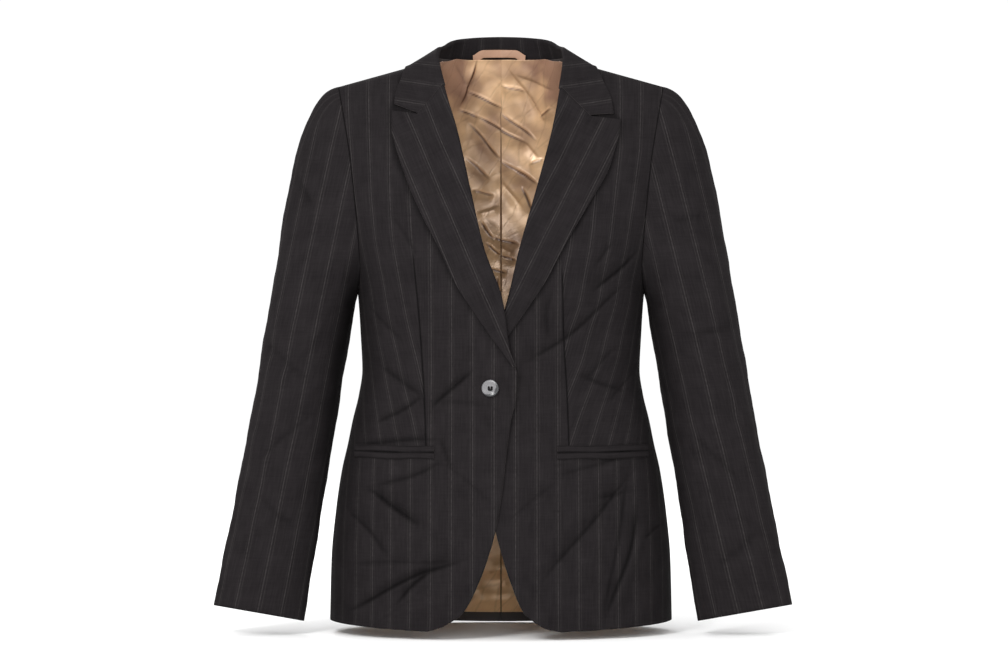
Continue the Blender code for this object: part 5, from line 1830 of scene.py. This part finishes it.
# ---------------------------------------------------------------- studio
@dataclass(frozen=True)
class Softbox:
    """A square area light: where it stands, what it faces, its width and its power in watts."""

    name: str
    place: tuple[float, float, float]
    target: tuple[float, float, float]
    size: float
    power: float


@dataclass
class Studio:
    """White paper floor in white air, soft lights and the camera."""

    eye: tuple[float, float, float] = (0.0037, -4.0, -0.3244)
    lens: float = 117.14
    sensor: float = 36.0
    floor: float = -0.6845
    reach: float = 30.0
    air: float = 1.04
    lights: tuple[Softbox, ...] = (
        Softbox("key", (-1.3, -2.6, 1.6), (0.0, 0.0, -0.33), 1.0, 62.0),
        Softbox("fill", (1.9, -3.1, 0.5), (0.0, 0.0, -0.33), 1.5, 12.0),
        Softbox("front", (0.1, -3.8, 0.5), (0.0, 0.0, -0.25), 0.9, 26.0),
        Softbox("back", (-1.0, 3.0, 1.6), (0.0, 0.0, -0.33), 1.0, 40.0))

    def stand(self, name: str, data: bpy.types.ID, place: tuple[float, float, float] = (0.0, 0.0, 0.0),
              turn: tuple[float, float, float] = (0.0, 0.0, 0.0)) -> bpy.types.Object:
        """Put something of the studio into the scene.

        Args:
            name: its name.
            data: its mesh, lamp or camera.
            place: where it stands.
            turn: how it is turned.

        Returns:
            The new object.
        """
        thing = bpy.data.objects.new(name, data)
        thing.location, thing.rotation_euler = place, turn
        bpy.context.scene.collection.objects.link(thing)
        return thing

    def lay_paper(self) -> None:
        """A square of paper that runs to the horizon, where it meets the white air."""
        corners = ((-1, -1), (1, -1), (1, 1), (-1, 1))
        mesh = bpy.data.meshes.new("paper_floor")
        mesh.from_pydata([(x * self.reach, y * self.reach, self.floor) for x, y in corners], [], [(0, 1, 2, 3)])
        mesh.materials.append(StudioPaper().make())
        self.stand("paper_floor", mesh)

    def hang(self, light: Softbox) -> None:
        """Add a light, tilted and then turned about Z so that it faces its target.

        Args:
            light: the softbox.
        """
        lamp = bpy.data.lights.new(f"{light.name}_softbox", "AREA")
        lamp.size, lamp.energy = light.size, light.power
        x, y, z = np.array(light.target) - np.array(light.place)
        tilt = math.atan2(math.hypot(x, y), -z)
        self.stand(lamp.name, lamp, light.place, (tilt, 0.0, math.atan2(y, x) - math.pi / 2))

    def build(self) -> None:
        """Set up paper, lights, world and camera."""
        self.lay_paper()
        for light in self.lights:
            self.hang(light)
        scene, world = bpy.context.scene, bpy.data.worlds.new("studio_air")
        world.use_nodes = True
        colour, strength = world.node_tree.nodes["Background"].inputs[:2]
        colour.default_value, strength.default_value = linear("#ffffff"), self.air
        scene.world = world
        scene.view_settings.view_transform = "Standard"
        camera = bpy.data.cameras.new("camera")
        camera.lens, camera.sensor_width = self.lens, self.sensor
        scene.camera = self.stand("camera", camera, self.eye, (math.radians(90.0), 0.0, 0.0))


# phase and lean of the stripes on each side
STRIPES = {"front": {cut.side: (cut.phase, 0.0) for cut in (RIGHT_CUT, LEFT_CUT)},
           "sleeve": {Side.RIGHT: (0.0952, -0.030), Side.LEFT: (0.0754, -0.065)},
           "lapel": {Side.RIGHT: (0.1256, 0.0), Side.LEFT: (0.1382, 0.0)}}


def main() -> None:
    """Build the blazer's pieces in the order they are sewn, then the studio."""
    logging.basicConfig(level=logging.INFO, format="%(name)s: %(message)s")
    satin = SatinLining().make()
    wool = {part: {side: WoolSuiting(f"worsted_wool_{side.name_of(part)}", *stripe).make()
                   for side, stripe in sides.items()} for part, sides in STRIPES.items()}
    torso = Torso()
    fronts = {cut.side: torso.front(cut) for cut in (RIGHT_CUT, LEFT_CUT)}
    backs = {side: torso.back(side) for side in Side}
    Sleeves(torso).build(wool["sleeve"], fronts, backs)
    torso.build(wool["front"], satin, fronts, backs)
    Collar(torso).build(WoolSuiting("worsted_wool_collar", 0.0).make(), wool["lapel"], fronts, backs)
    Pockets(torso).build(wool["front"])
    # the loop is the lining's satin in darker colours: painted shade
    HangerLoop(torso).build(SatinLining("acetate_satin_loop", light="#b88f6b", deep="#98735a", roughness=0.6).make())
    Closure(torso).build(PolyesterButton().make(), SewingThread().make())
    Studio().build()


if __name__ == "__main__":
    main()
